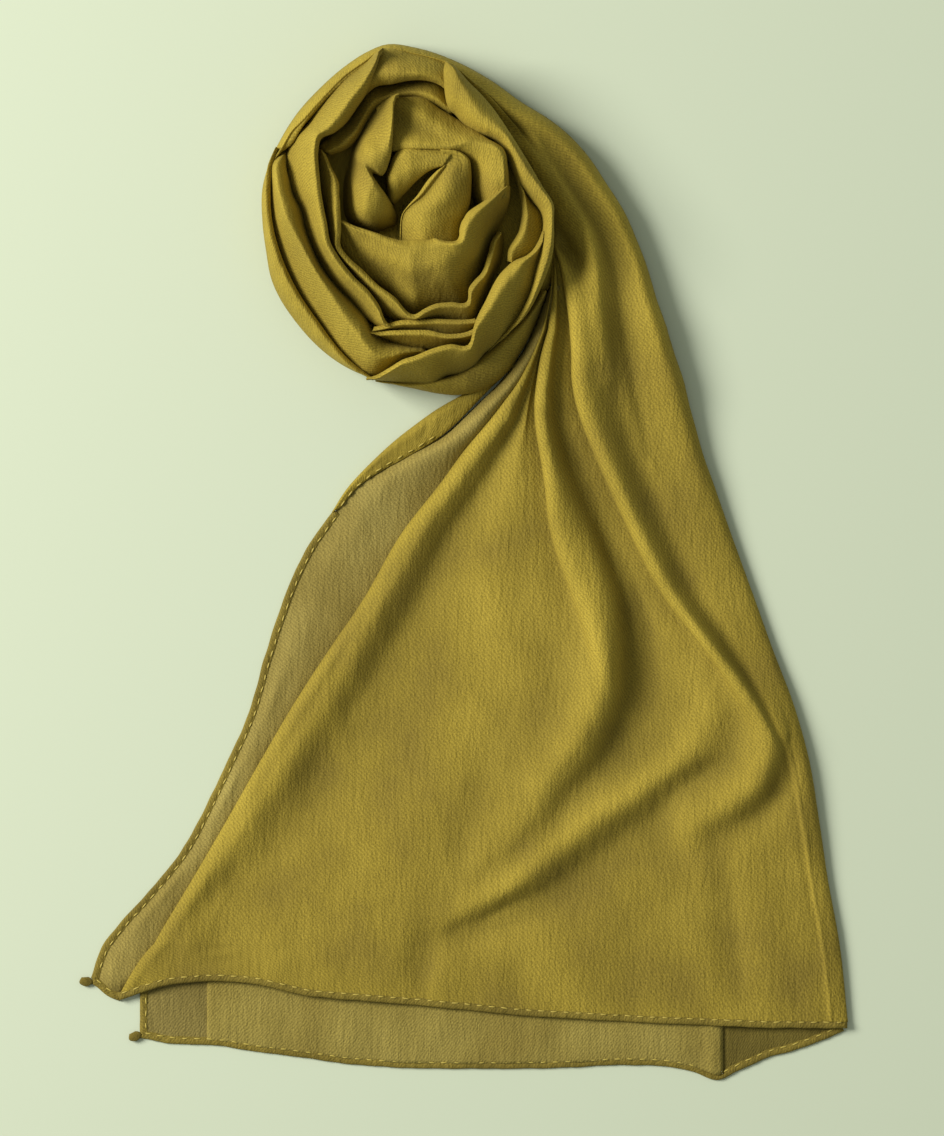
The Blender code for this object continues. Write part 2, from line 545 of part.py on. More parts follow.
def flap_rings():
    edge = [*FLAP_TOP, *inset(TURNBACK_INNER, SEAM), *inset(FLAP_SIDE, HEM_WIDTH + SEAM)]
    rings = []
    for left, y in edge:
        line = flap_points(left, between(RAILS, "left", "y", y) + FLAP_TUCK, y)
        rings.append([(x, y, z) for x, z in line + [(x, z - WALL) for x, z in line[::-1]]])
    end = [Edge(*p) for p in inset(FLAP_END, HEM_WIDTH + SEAM)] + [FLAP_HIDDEN_END]
    first, last = end[0].x, end[-1].x
    line = [(first + (last - first) * k / 5, WALL) for k in range(6)]
    rings.append([
        (x, between(end, "y", "x", x), z)
        for x, z in line + [(x, z - WALL) for x, z in line[::-1]]
    ])
    return rings


def turnback_rings():
    """The strip of the flap turned back over itself, a shallow arch on the table."""
    rings = []
    for k, (inner, outer) in enumerate(zip(TURNBACK_INNER, TURNBACK_OUTER)):
        share = k / (len(TURNBACK_INNER) - 1)
        top = TURNBACK_HIGH + (TURNBACK_LOW - TURNBACK_HIGH) * share
        rings.append(arch_ring(inner, outer, Height(0, 0.5, 1.0, top, 0.5), ON_FLOOR))
    return rings


def inset(path, distance):
    """The path moved to the left of its way along by a distance."""
    moved = []
    for k, (x, y) in enumerate(path):
        x0, y0 = path[max(k - 1, 0)]
        x1, y1 = path[min(k + 1, len(path) - 1)]
        length = math.hypot(x1 - x0, y1 - y0)
        moved.append((x - (y1 - y0) / length * distance, y + (x1 - x0) / length * distance))
    return moved


def back_outline():
    """The back's outline: its hidden sides follow the front's folds a little way in."""
    hem = HEM_WIDTH + SEAM
    points = [(max(x, BACK_LEFT_X + hem), y) for x, y in inset(BACK_EDGE, hem)]
    points.append((188.5, -229.0))
    for rail in RAILS[-2:3:-1]:
        points.append((rail.right - 1.0, rail.y))
    for rail in RAILS[4:-1]:
        points.append((rail.left + FLAP_TUCK + 2.0, rail.y))
    points.append((BACK_LEFT_X + hem, BACK_SIDE[0].y))
    return points


def slab(name, outline, thick, material, collection):
    """A flat panel on the table, cut to an outline."""
    curve = bpy.data.curves.new(name + "_cut", "CURVE")
    curve.dimensions = "2D"
    curve.fill_mode = "BOTH"
    curve.extrude = thick / 2 * MM
    spline = curve.splines.new("POLY")
    spline.points.add(len(outline) - 1)
    for point, (x, y) in zip(spline.points, outline):
        point.co = (x * MM, y * MM, 0.0, 1.0)
    spline.use_cyclic_u = True
    obj = bpy.data.objects.new(name, curve)
    obj.location.z = thick / 2 * MM
    curve.materials.append(material)
    collection.objects.link(obj)
    return obj


def hem_rings(outer, inner, lifts):
    """A rolled hem, a flattened tube between its outer side and its inner side (x, y)."""
    profile = ((0.0, 0.35), (0.12, 0.85), (0.45, 1.0), (0.9, 0.85), (1.0, 0.4), (0.85, 0.0),
               (0.15, 0.0))
    return [
        [(x0 + (x1 - x0) * d, y0 + (y1 - y0) * d, low + HEM_THICK * z) for d, z in profile]
        for (x0, y0), (x1, y1), low in zip(outer, inner, lifts)
    ]


def hem_along(path):
    """A hem that lies on the table, with its outer side on the path."""
    return hem_rings(path, inset(path, HEM_WIDTH), [ON_FLOOR] * len(path))


def front_hem_rings():
    """The front's hem, which follows the front's lowest section up and down."""
    line = lift_creases(front_line(RAILS[-1].y), RAILS[-1].y)
    outer = [(x, edge_y(FRONT_EDGE, x)) for x, z in line]
    inner = [(x, y + HEM_WIDTH) for x, y in outer]
    return hem_rings(outer, inner, [max(z - WALL - 0.3, EDGE_LIFT) for x, z in line])


def knot_rings(x, y, angle):
    """The rolled tip where two hems meet at a corner."""
    rings = []
    a = math.radians(angle)
    for share, size in ((0.0, 0.5), (0.25, 0.95), (0.6, 1.0), (0.88, 0.8), (1.0, 0.4)):
        cx, cy = x + math.cos(a) * KNOT_LENGTH * share, y + math.sin(a) * KNOT_LENGTH * share
        ring = []
        for k in range(8):
            t = 2 * math.pi * k / 8
            across = math.cos(t) * KNOT_WIDTH / 2 * size
            height = KNOT_HEIGHT / 2 * (1 + math.sin(t) * size)
            ring.append((cx - math.sin(a) * across, cy + math.cos(a) * across, height))
        rings.append(ring)
    return rings


def main():
    clear_scene()
    scarf = bpy.data.collections.new("wound_scarf")
    bpy.context.scene.collection.children.link(scarf)
    cloth = make_material("olive_crepe", OLIVE)
    hem = make_material("olive_hem", OLIVE_HEM)

    loft("core_layers", core_rings(), cloth, scarf, wall=False)
    for stretch in STRETCHES:
        loft(stretch.name, wound_rings(stretch), cloth, scarf)
    loft("bud", bud_rings(), cloth, scarf)
    loft(TURN.name, turn_rings(), cloth, scarf)
    loft("gathers", gather_rings(), cloth, scarf)

    loft("front_panel", front_rings(), cloth, scarf)
    loft("flap_panel", flap_rings(), cloth, scarf)
    loft("flap_turnback", turnback_rings(), cloth, scarf)
    slab("back_panel", back_outline(), WALL, cloth, scarf)

    loft("front_hem", front_hem_rings(), hem, scarf, wall=False)
    loft("flap_side_hem", hem_along(FLAP_SIDE), hem, scarf, wall=False)
    loft("flap_end_hem", hem_along(FLAP_END), hem, scarf, wall=False)
    loft("back_hem", hem_along(BACK_EDGE), hem, scarf, wall=False)
    loft("back_side_hem", hem_along(BACK_SIDE), hem, scarf, wall=False)
    loft("knot_flap", knot_rings(-185.9, -209.3, 176.0), hem, scarf, wall=False)
    loft("knot_back", knot_rings(-162.6, -236.0, 200.0), hem, scarf, wall=False)


main()
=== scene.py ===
"""A long plain crepe chiffon scarf on a pale table, seen from straight above: one end is
wound into a rosette, and the tail fans out below it, doubled, with a stitched rolled hem.
"""

import math
from collections import namedtuple

import bmesh
import bpy
import numpy as np
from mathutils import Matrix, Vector, noise


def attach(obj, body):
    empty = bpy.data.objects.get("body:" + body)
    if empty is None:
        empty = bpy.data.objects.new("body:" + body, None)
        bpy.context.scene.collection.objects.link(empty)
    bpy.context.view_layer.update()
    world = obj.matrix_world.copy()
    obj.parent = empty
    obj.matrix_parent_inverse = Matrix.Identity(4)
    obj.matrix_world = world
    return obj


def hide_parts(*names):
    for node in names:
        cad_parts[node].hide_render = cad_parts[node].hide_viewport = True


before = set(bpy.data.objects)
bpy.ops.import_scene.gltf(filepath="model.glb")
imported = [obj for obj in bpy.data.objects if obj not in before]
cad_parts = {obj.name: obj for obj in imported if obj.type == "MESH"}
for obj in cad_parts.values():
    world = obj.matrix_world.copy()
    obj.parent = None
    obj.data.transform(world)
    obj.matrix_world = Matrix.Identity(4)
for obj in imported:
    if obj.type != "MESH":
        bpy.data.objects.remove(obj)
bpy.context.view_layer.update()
bpy.ops.object.select_all(action="DESELECT")

MM = 0.001


# The cloth.
# Crepe chiffon is woven from hard-twisted yarns, which pull it into a fine pebbled grain.
# It is dyed one olive colour, matt, with a soft sheen where it turns away.

CLOTH = 0.5           # thickness of one layer
GRAIN = 0.95          # size of one pebble of the grain, drawn a little coarse so that it shows
RIB = 1.35            # spacing of the fine slanting ribs, likewise
CRINKLE_LONG, CRINKLE_WIDE = 13.0, 2.6    # the shallow crinkles that run along the cloth
PATCH = 45.0          # size of the soft patches of deeper and lighter dye
WAVE_PERIOD = 2 * math.pi / 20            # of Blender's wave pattern at scale 1


def srgb(code):
    """A #rrggbb colour as linear RGBA."""
    parts = [int(code[k:k + 2], 16) / 255 for k in (1, 3, 5)]
    return [c / 12.92 if c <= 0.04045 else ((c + 0.055) / 1.055) ** 2.4 for c in parts] + [1.0]


def add_node(tree, kind, settings=None, inputs=None):
    """A shader node with its settings, and its inputs set to values or linked to sockets."""
    node = tree.nodes.new(kind)
    for key, value in (settings or {}).items():
        setattr(node, key, value)
    for key, value in (inputs or {}).items():
        if isinstance(value, bpy.types.NodeSocket):
            tree.links.new(value, node.inputs[key])
        else:
            node.inputs[key].default_value = value
    return node


def make_cloth(name, deep, middle, light, alpha=1.0, crinkle=0.5):
    material = bpy.data.materials.new(name)
    material.use_nodes = True
    tree = material.node_tree
    shader = tree.nodes["Principled BSDF"]
    shader.inputs["Roughness"].default_value = 0.82
    shader.inputs["Specular IOR Level"].default_value = 0.22
    shader.inputs["Sheen Weight"].default_value = 0.10
    shader.inputs["Sheen Roughness"].default_value = 0.45
    shader.inputs["Sheen Tint"].default_value = srgb("#d8c46a")
    shader.inputs["Alpha"].default_value = alpha
    coords = add_node(tree, "ShaderNodeTexCoord")
    patches = add_node(tree, "ShaderNodeTexNoise", None, {
        "Vector": coords.outputs["Object"], "Scale": 1 / (PATCH * MM), "Detail": 3.0})
    ramp = add_node(tree, "ShaderNodeValToRGB", None, {"Fac": patches.outputs["Fac"]})
    ramp.color_ramp.elements[0].position = 0.3
    ramp.color_ramp.elements[0].color = srgb(deep)
    ramp.color_ramp.elements[1].position = 0.7
    ramp.color_ramp.elements[1].color = srgb(light)
    mid = ramp.color_ramp.elements.new(0.5)
    mid.color = srgb(middle)

    grain = add_node(tree, "ShaderNodeTexNoise", None, {
        "Vector": coords.outputs["UV"], "Scale": 1 / (GRAIN * MM), "Detail": 2.0,
        "Roughness": 0.65})
    slant = add_node(tree, "ShaderNodeMapping", None, {
        "Vector": coords.outputs["UV"], "Rotation": (0, 0, math.radians(38))})
    ribs = add_node(tree, "ShaderNodeTexWave", {"wave_type": "BANDS"}, {
        "Vector": slant.outputs["Vector"], "Scale": WAVE_PERIOD / (RIB * MM), "Distortion": 5.0,
        "Detail": 2.0, "Detail Scale": 1.2})
    ribbed = add_node(tree, "ShaderNodeMath", {"operation": "MULTIPLY"}, {
        0: ribs.outputs["Fac"], 1: 0.22})
    pebbled = add_node(tree, "ShaderNodeMath", {"operation": "ADD"}, {
        0: grain.outputs["Fac"], 1: ribbed.outputs["Value"]})
    stretch = add_node(tree, "ShaderNodeMapping", None, {
        "Vector": coords.outputs["Object"], "Rotation": (0, 0, math.radians(-7)),
        "Scale": (1 / (CRINKLE_WIDE * MM), 1 / (CRINKLE_LONG * MM), 1 / (8.0 * MM))})
    crinkles = add_node(tree, "ShaderNodeTexNoise", None, {
        "Vector": stretch.outputs["Vector"], "Scale": 1.0, "Detail": 3.0, "Roughness": 0.6,
        "Distortion": 0.4})

    fleck = add_node(tree, "ShaderNodeMapRange", None, {
        "Value": pebbled.outputs["Value"], "From Min": 0.38, "From Max": 0.86,
        "To Min": 0.70, "To Max": 1.28})
    # painted shade and painted highlight: the lift attribute darkens the colour in the hollows and
    # lightens it on the ridges
    depth = add_node(tree, "ShaderNodeAttribute", {"attribute_name": "lift"})
    painted_relief_shade = add_node(tree, "ShaderNodeMapRange", None, {
        "Value": depth.outputs["Fac"], "From Min": -1.0, "From Max": 1.0,
        "To Min": 0.74, "To Max": 1.20})
    grain_and_painted_shade = add_node(tree, "ShaderNodeMath", {"operation": "MULTIPLY"}, {
        0: fleck.outputs["Result"], 1: painted_relief_shade.outputs["Result"]})
    shade = add_node(tree, "ShaderNodeMix", {"data_type": "RGBA", "blend_type": "MULTIPLY"}, {
        "Factor": 1.0, "A": ramp.outputs["Color"], "B": grain_and_painted_shade.outputs["Value"]})
    tree.links.new(shade.outputs["Result"], shader.inputs["Base Color"])
    creased = add_node(tree, "ShaderNodeBump", None, {
        "Height": crinkles.outputs["Fac"], "Strength": crinkle, "Distance": 1.6 * MM})
    bump = add_node(tree, "ShaderNodeBump", None, {
        "Height": pebbled.outputs["Value"], "Strength": 0.8, "Distance": 0.34 * MM,
        "Normal": creased.outputs["Normal"]})
    tree.links.new(bump.outputs["Normal"], shader.inputs["Normal"])
    return material


olive = make_cloth("olive_cloth", "#85732a", "#94812d", "#a08c33")


def spline(keys, values, at):
    """Smooth values between the rows of a table, at places along its keys."""
    keys = np.asarray(keys, float)
    values = np.asarray(values, float)
    at = np.clip(np.asarray(at, float), keys[0], keys[-1])
    slopes = np.gradient(values, keys, axis=0) if len(keys) > 2 else np.zeros_like(values)
    if len(keys) == 2:
        slopes[:] = (values[1] - values[0]) / (keys[1] - keys[0])
    k = np.clip(np.searchsorted(keys, at, side="right") - 1, 0, len(keys) - 2)
    step = keys[k + 1] - keys[k]
    t = (at - keys[k]) / step
    if values.ndim == 2:
        t, step = t[:, None], step[:, None]
    a, b = values[k], values[k + 1]
    da, db = slopes[k] * step, slopes[k + 1] * step
    return (a * (2 * t ** 3 - 3 * t ** 2 + 1) + da * (t ** 3 - 2 * t ** 2 + t)
            + b * (3 * t ** 2 - 2 * t ** 3) + db * (t ** 3 - t ** 2))


def lengths_along(points):
    """How far along a line each of its points is."""
    return np.concatenate(([0], np.cumsum(np.linalg.norm(np.diff(points, axis=0), axis=1))))


def smooth_section(points, steps):
    """A smooth line through a section's points, with the given steps between them."""
    points = np.asarray(points, float)
    gaps = np.sqrt(np.linalg.norm(np.diff(points, axis=0), axis=1)) + 1e-6
    keys = np.concatenate(([0.0], np.cumsum(gaps)))
    at = [keys[k] + (keys[k + 1] - keys[k]) * j / n for k, n in enumerate(steps) for j in range(n)]
    return spline(keys, points, at + [keys[-1]])


LIFT_REACH = (6, 5)   # rows and columns over which a place counts as lifted or hollow
LIFT_FULL = 2.6       # mm above its surroundings where the painted highlight is full, and below them where the painted shade is full


def blurred(z, rows, columns):
    """Heights of a grid averaged over a few rows and columns either way."""
    for axis, reach in ((0, rows), (1, columns)):
        for _ in range(2):
            pad = [(0, 0), (0, 0)]
            pad[axis] = (reach, reach)
            padded = np.pad(z, pad, mode="edge")
            size = z.shape[axis]
            z = sum(np.take(padded, range(k, k + size), axis=axis)
                    for k in range(2 * reach + 1)) / (2 * reach + 1)
    return z


def cloth_piece(name, grid, nodes, material, wall=CLOTH):
    """A sheet of cloth through a grid of points (rows x columns x 3, in mm)."""
    rows, columns = grid.shape[:2]
    along = np.linalg.norm(np.diff(grid, axis=0), axis=2)
    across = np.linalg.norm(np.diff(grid, axis=1), axis=2)
    u = np.concatenate((np.zeros((1, columns)), np.cumsum(along, axis=0)))
    u = u.mean(axis=1)[:, None] * np.ones((1, columns))
    v = np.concatenate((np.zeros((rows, 1)), np.cumsum(across, axis=1)), axis=1)
    mesh = bpy.data.meshes.new(name)
    faces = [
        (r * columns + c, r * columns + c + 1, (r + 1) * columns + c + 1, (r + 1) * columns + c)
        for r in range(rows - 1) for c in range(columns - 1)
    ]
    mesh.from_pydata((grid.reshape(-1, 3) * MM).tolist(), [], faces)
    layer = mesh.uv_layers.new(name="cloth")
    flat = np.stack((u.reshape(-1), v.reshape(-1)), axis=1) * MM
    loops = np.empty(len(mesh.loops), dtype=np.int32)
    mesh.loops.foreach_get("vertex_index", loops)
    layer.data.foreach_set("uv", flat[loops].reshape(-1))
    # The colour is painted lighter where the cloth stands above its surroundings and darker in its
    # hollows: painted highlight and painted shade on the folds, carried by the attribute lift.
    z = grid[..., 2]
    lift = np.clip((z - blurred(z, *LIFT_REACH)) / LIFT_FULL, -1, 1)
    mesh.attributes.new("lift", "FLOAT", "POINT").data.foreach_set("value", lift.reshape(-1))
    mesh.shade_smooth()
    if sum(p.normal.z * p.area for p in mesh.polygons) < 0:
        mesh.flip_normals()
    obj = bpy.data.objects.new(name, mesh)
    bpy.context.scene.collection.objects.link(obj)
    mesh.materials.append(material)
    thick = obj.modifiers.new("thickness", "SOLIDIFY")
    thick.thickness = wall * MM
    thick.offset = -1.0
    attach(obj, "root")
    if nodes:
        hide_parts(*nodes)
    return obj


# The outer turn and the front of the tail.
# One stretch of cloth: it leaves the winding at the top, runs round its right side, is
# pinched into pleats at the rosette's right corner, and fans out down to the hem. Its left
# and right edges are folds; the pleats lie over each other to the left.

CENTRE_X, CENTRE_Y = -27.0, 171.5    # the rosette's middle
Line = namedtuple("Line", "angle radius")
Rail = namedtuple("Rail", "y left a b right")
Rise = namedtuple("Rise", "y edge valley_at valley plane under_a a trough_at trough under_b b"
                          " dip side")
Crease = namedtuple("Crease", "rise left right path")
Point = namedtuple("Point", "x y")


def rows_of(kind, *rows):
    """A table whose columns have the names of a namedtuple."""
    return tuple(kind(*row) for row in rows)


RIM_TURN = rows_of(
    Line, (-12, 121.5), (-5, 113.5), (2, 107.1), (10, 99.9), (19, 94.6), (28, 89.7), (36, 85.3),
    (45, 81.0), (61, 80.2), (75, 82.2), (88, 85.5), (98, 87.9), (104, 86.2), (113, 82.8),
    (124, 79.3), (137, 77.0), (150, 75.4), (168, 75.1),
)
# The crevice and the rim between which the stretch lies round the winding: at the left it is
# the second layer, and from the top on the outer turn.
TURN_IN = rows_of(
    Line, (-40, 73.0), (-28, 71.5), (-12, 71.5), (0, 69.7), (4, 69.9), (12, 65.4), (24, 62.4),
    (40, 62.5), (57, 67.1), (67, 71.0), (75, 76.0), (84, 77.4), (90, 78.7), (96, 80.9),
    (100, 81.5), (105, 77.7), (115, 73.8), (122, 70.9), (129, 69.0), (138, 68.2), (144, 69.5),
    (151, 68.4), (158, 66.0), (162, 63.0), (168, 59.4), (175, 54.3), (186, 52.0), (196, 50.6),
    (207, 50.2), (221, 49.7), (238, 50.9), (246, 53.6), (252, 58.3), (258, 61.5), (264, 62.4),
    (272, 63.9), (280, 65.4),
)
TURN_OUT = RIM_TURN[:-1] + rows_of(
    Line, (157, 74.8), (160, 73.6), (166, 71.2), (172, 69.8), (182, 68.2), (197, 66.4),
    (212, 66.3), (230, 69.0), (247, 76.6), (256, 80.6), (262, 75.8), (267, 71.0), (272, 69.0),
    (279, 66.5), (288, 66.4),
)
# Sections of a wound stretch: where its ridge lies, the heights of its inner side, of the
# ridge and of its outer side, and how much its outer face swells.
Roll = namedtuple("Roll", "angle share low top out bulge")
SECOND = rows_of(
    Roll, (140, .20, 24, 30, 12, .6), (152, .40, 24, 32, 16, .5), (161, .66, 24, 34, 20, .5),
    (169, .60, 20, 35, 20, .3), (177, .56, 17, 36, 20, .2), (189, .36, 16, 37, 19, .2),
    (203, .24, 16, 38, 19, .2), (220, .26, 16, 38, 19, .2), (239, .41, 15, 38, 19, .2),
    (253, .46, 14, 37, 19, .2), (262, .58, 14, 33, 20, .2), (277, .50, 16, 22, 18, .2),
)
RAILS = rows_of(
    Rail, (116.5, 38.8, 42.0, 52.7, 101.4), (104.0, 33.5, 38.5, 53.6, 105.2),
    (91.5, 26.5, 36.5, 53.8, 109.5), (79.0, 17.5, 35.3, 56.0, 112.5),
    (66.5, 8.0, 36.0, 60.0, 116.0), (54.0, -1.5, 38.0, 65.0, 119.5),
    (41.5, -10.5, 40.0, 70.5, 124.0), (16.5, -30.0, 43.0, 82.0, 132.8),
    (-18.5, -50.5, 54.5, 100.5, 145.5), (-43.5, -67.5, 63.0, 120.0, 154.5),
    (-68.5, -83.8, 67.0, 137.0, 164.0), (-98.5, -101.5, 50.5, 152.0, 172.5),
    (-128.5, -118.5, 29.5, 157.0, 177.5), (-158.5, -136.0, 18.0, 162.0, 182.0),
    (-188.5, -153.8, 13.0, 167.0, 187.5), (-232.0, -172.0, 8.0, 172.0, 192.0),
)
RISES = rows_of(
    Rise, (116.5, 20, .40, 17, 16, 14, 22, .50, 16, 15, 26, .40, 18),
    (91.5, 17, .40, 12, 12, 10, 20, .50, 13, 12, 24, .38, 16),
    (66.5, 14, .32, 8, 10, 8, 18, .50, 11, 10, 21, .36, 12),
    (41.5, 12, .26, 6.5, 9, 7.5, 17, .50, 9, 8, 19, .34, 10),
    (16.5, 11, .22, 5.5, 9, 8, 15, .55, 8, 7, 17, .34, 8),
    (-18.5, 10, .20, 5, 9, 9, 14, .60, 7, 7, 15, .34, 7),
    (-43.5, 9.5, .20, 4.6, 9, 11, 14, .50, 6, 7.5, 14, .36, 7),
    (-68.5, 9, .21, 4.5, 9, 13, 13.5, .35, 6, 9, 12, .40, 8),
    (-98.5, 8.5, .23, 4.5, 9, 11.5, 11.5, .40, 7, 9.5, 9.5, .45, 8.5),
    (-128.5, 8, .20, 4.5, 8, 9, 9, .45, 7, 8, 8, .50, 7.5),
    (-158.5, 7, .14, 4.5, 7, 7, 7, .50, 6, 6.5, 6.5, .50, 6),
    (-188.5, 6, .12, 4.6, 6, 5.5, 5.5, .50, 5, 5.5, 5.5, .50, 5.5),
    (-232.0, 4.2, .12, 4.2, 4.6, 4.2, 4.2, .50, 4.4, 4.6, 4.6, .50, 4.6),
)
# Where the stretch turns from the winding into the tail: both edges and both pleats.
Gather = namedtuple("Gather", "left_x left_y a_x a_y b_x b_y right_x right_y")
GATHER = rows_of(
    Gather, (44.3, 150.0, 44.8, 150.3, 46.4, 152.5, 92.6, 143.8),
    (43.8, 142.0, 44.6, 143.0, 48.4, 146.0, 94.3, 138.0),
    (42.8, 134.0, 44.2, 134.0, 50.2, 135.0, 96.0, 132.0),
    (40.9, 125.0, 42.9, 125.0, 51.8, 125.0, 98.7, 124.5),
)
FRONT_EDGE = rows_of(
    Point, (-172.0, -218.5), (-162, -215.0), (-154, -212.4), (-145, -210.3), (-125, -208.8),
    (-106, -210.0), (-97, -212.0), (-78, -216.5), (-52, -218.7), (-20, -221.3), (29, -226.2),
    (90, -229.7), (152, -232.3), (192.0, -232.5),
)
HEM = 4.0
HEM_LEVEL = -232.0    # the section that the front's lower edge is made from
LAST_LEVEL = -190.0   # below this the sections bend down to the hem
LOWEST = 2.7          # lowest that the front lies, over the layer below it

# Creases: rise of each (a trough is negative), its width on either side of the
# way along, and the points it passes.
CREASES = (
    # the turn: a ridge beside the hollow at the rosette, and the valley outside it
    Crease(5.5, 3.5, 6, ((34, 210), (44, 195), (54, 178), (61, 165), (65, 150), (67, 131),
                         (70, 110), (73, 92))),
    Crease(-4.5, 12, 4, ((43, 204), (52, 193), (63, 177), (70.5, 163), (75, 148), (77.5, 130),
                         (81, 110), (87, 82), (94, 55))),
    Crease(-7.0, 4, 4, ((43, 172), (49, 161), (54, 152), (56, 142))),
    Crease(-5.0, 4, 4, ((16, 223), (23, 217), (31, 209))),
    # the left side of the panel: a rounded ridge along its fold, and a long valley
    Crease(2.2, 9, 6, ((4, 52), (-38, -18), (-72, -78), (-108, -130), (-130, -162))),
    Crease(-2.6, 15, 9, ((10, 50), (-26, -18), (-60, -78), (-92, -128), (-112, -158))),
    Crease(-1.1, 6, 10, ((20, -70), (4, -122), (-14, -198))),
    Crease(-0.9, 8, 8, ((-60, -35), (-80, -118))),
    # the pleats as they fade: ridges and the valleys beside them
    Crease(-5.5, 12, 5, ((45.5, 73), (56, 45), (71, 10), (83, -21), (83, -50), (79, -73),
                         (70, -97), (52, -117), (46, -130))),
    Crease(4.2, 7, 13, ((58, 40), (64, 5), (71, -30), (69, -57), (60, -84), (44, -104),
                        (32, -126), (18, -143))),
    Crease(4.8, 6, 9, ((123, -74), (106, -102), (88, -115), (65, -129), (32, -156), (4, -176))),
    Crease(-4.6, 7, 6, ((134, -80), (130, -98), (112, -108), (101, -116), (96, -129),
                        (96, -145))),
    Crease(-5.2, 11, 6, ((90, -128), (65, -146), (37, -166), (1, -182), (-20, -194))),
    Crease(4.2, 8, 8, ((112, -22), (126, -51), (142, -70), (152, -90), (147, -110),
                       (131, -121), (118, -130))),
    Crease(-4.2, 9, 5, ((161, -92), (158, -107), (147, -123), (131, -133), (121, -139))),
    Crease(2.4, 7, 6, ((108, -124), (112, -137), (119, -152), (123, -168))),
    Crease(-2.6, 5, 5, ((127, -144), (131, -177), (134, -198), (136, -220))),
    Crease(1.4, 12, 8, ((141, -150), (144, -185), (146, -215))),
    # short creases near the hem
    Crease(-2.6, 1.6, 8, ((-17, -180), (-19, -200), (-20, -219))),
    Crease(1.2, 7, 2.5, ((-12, -184), (-15, -218))),
    Crease(1.2, 6, 5, ((56, -186), (52, -205), (50, -224))),
    Crease(-1.4, 6, 4, ((86, -172), (82, -200), (80, -226))),
    Crease(-1.2, 5, 5, ((28, -196), (24, -222))),
    Crease(-2.2, 7, 7, ((-112, -151), (-124, -165), (-136, -178))),
    Crease(-1.2, 2, 3, ((-123, -183), (-123, -204))),
    Crease(1.0, 5, 4, ((-96, -176), (-98, -205))),
)


def table(rows, at):
    """All columns of a table but the first, at places along its first."""
    rows = sorted(rows, key=lambda row: row[0])
    return spline([row[0] for row in rows], [row[1:] for row in rows], at)


def polar(angle, radius):
    a = math.radians(angle)
    return np.array((CENTRE_X + radius * math.cos(a), CENTRE_Y + radius * math.sin(a)))


def radius_at(line, angle):
    return float(table(line, [angle])[0][0])


def crease_rise(x, y, creases):
    """What the creases add to the height at points, fading out at both ends of each."""
    total = np.zeros_like(x)
    for crease in creases:
        path = np.asarray(crease.path, float)
        keys = lengths_along(path)
        fine = spline(keys, path, np.linspace(0, keys[-1], 24))
        best = np.full(x.shape, 1e9)
        side = np.zeros_like(x)
        share = np.zeros_like(x)
        for k in range(len(fine) - 1):
            d = fine[k + 1] - fine[k]
            t = ((x - fine[k][0]) * d[0] + (y - fine[k][1]) * d[1]) / (d @ d)
            t = np.clip(t, 0, 1)
            dx, dy = x - fine[k][0] - t * d[0], y - fine[k][1] - t * d[1]
            away = np.hypot(dx, dy)
            near = away < best
            best = np.where(near, away, best)
            side = np.where(near, np.sign(d[0] * dy - d[1] * dx), side)
            share = np.where(near, (k + t) / (len(fine) - 1), share)
        width = np.where(side > 0, crease.left, crease.right)
        fade = np.sin(np.pi * np.clip(0.12 + share * 0.76, 0, 1))
        total += crease.rise * fade * np.exp(-(best / width) ** 2)
    return total


def height_of(line, x):
    """The y of a line of points at an x."""
    return float(np.interp(x, [p.x for p in line], [p.y for p in line]))


def blend(low, high, share):
    return low + (high - low) * share


def wound_line(w, foot, share, low, top, out, bulge):
    """Points across a wound stretch, from the foot of its inner side to its outer side."""
    c = min(max(share * w, 2.4), 0.92 * w)
    lean = min(2.5, 0.3 * w)
    line = [(lean, foot), (0.4 * lean, foot + 0.5 * (low - foot)), (0.0, low),
            (0.25 * c, low + 0.55 * (top - low)), (0.6 * c, low + 0.90 * (top - low)), (c, top)]
    for t in (0.33, 0.66, 1.0):
        line.append((c + t * (w - c), top - (top - out) * t ** (1 + bulge)))
    return line + [(w + 1.0, out - 4), (w + 0.5, max(out - 12, 8))]


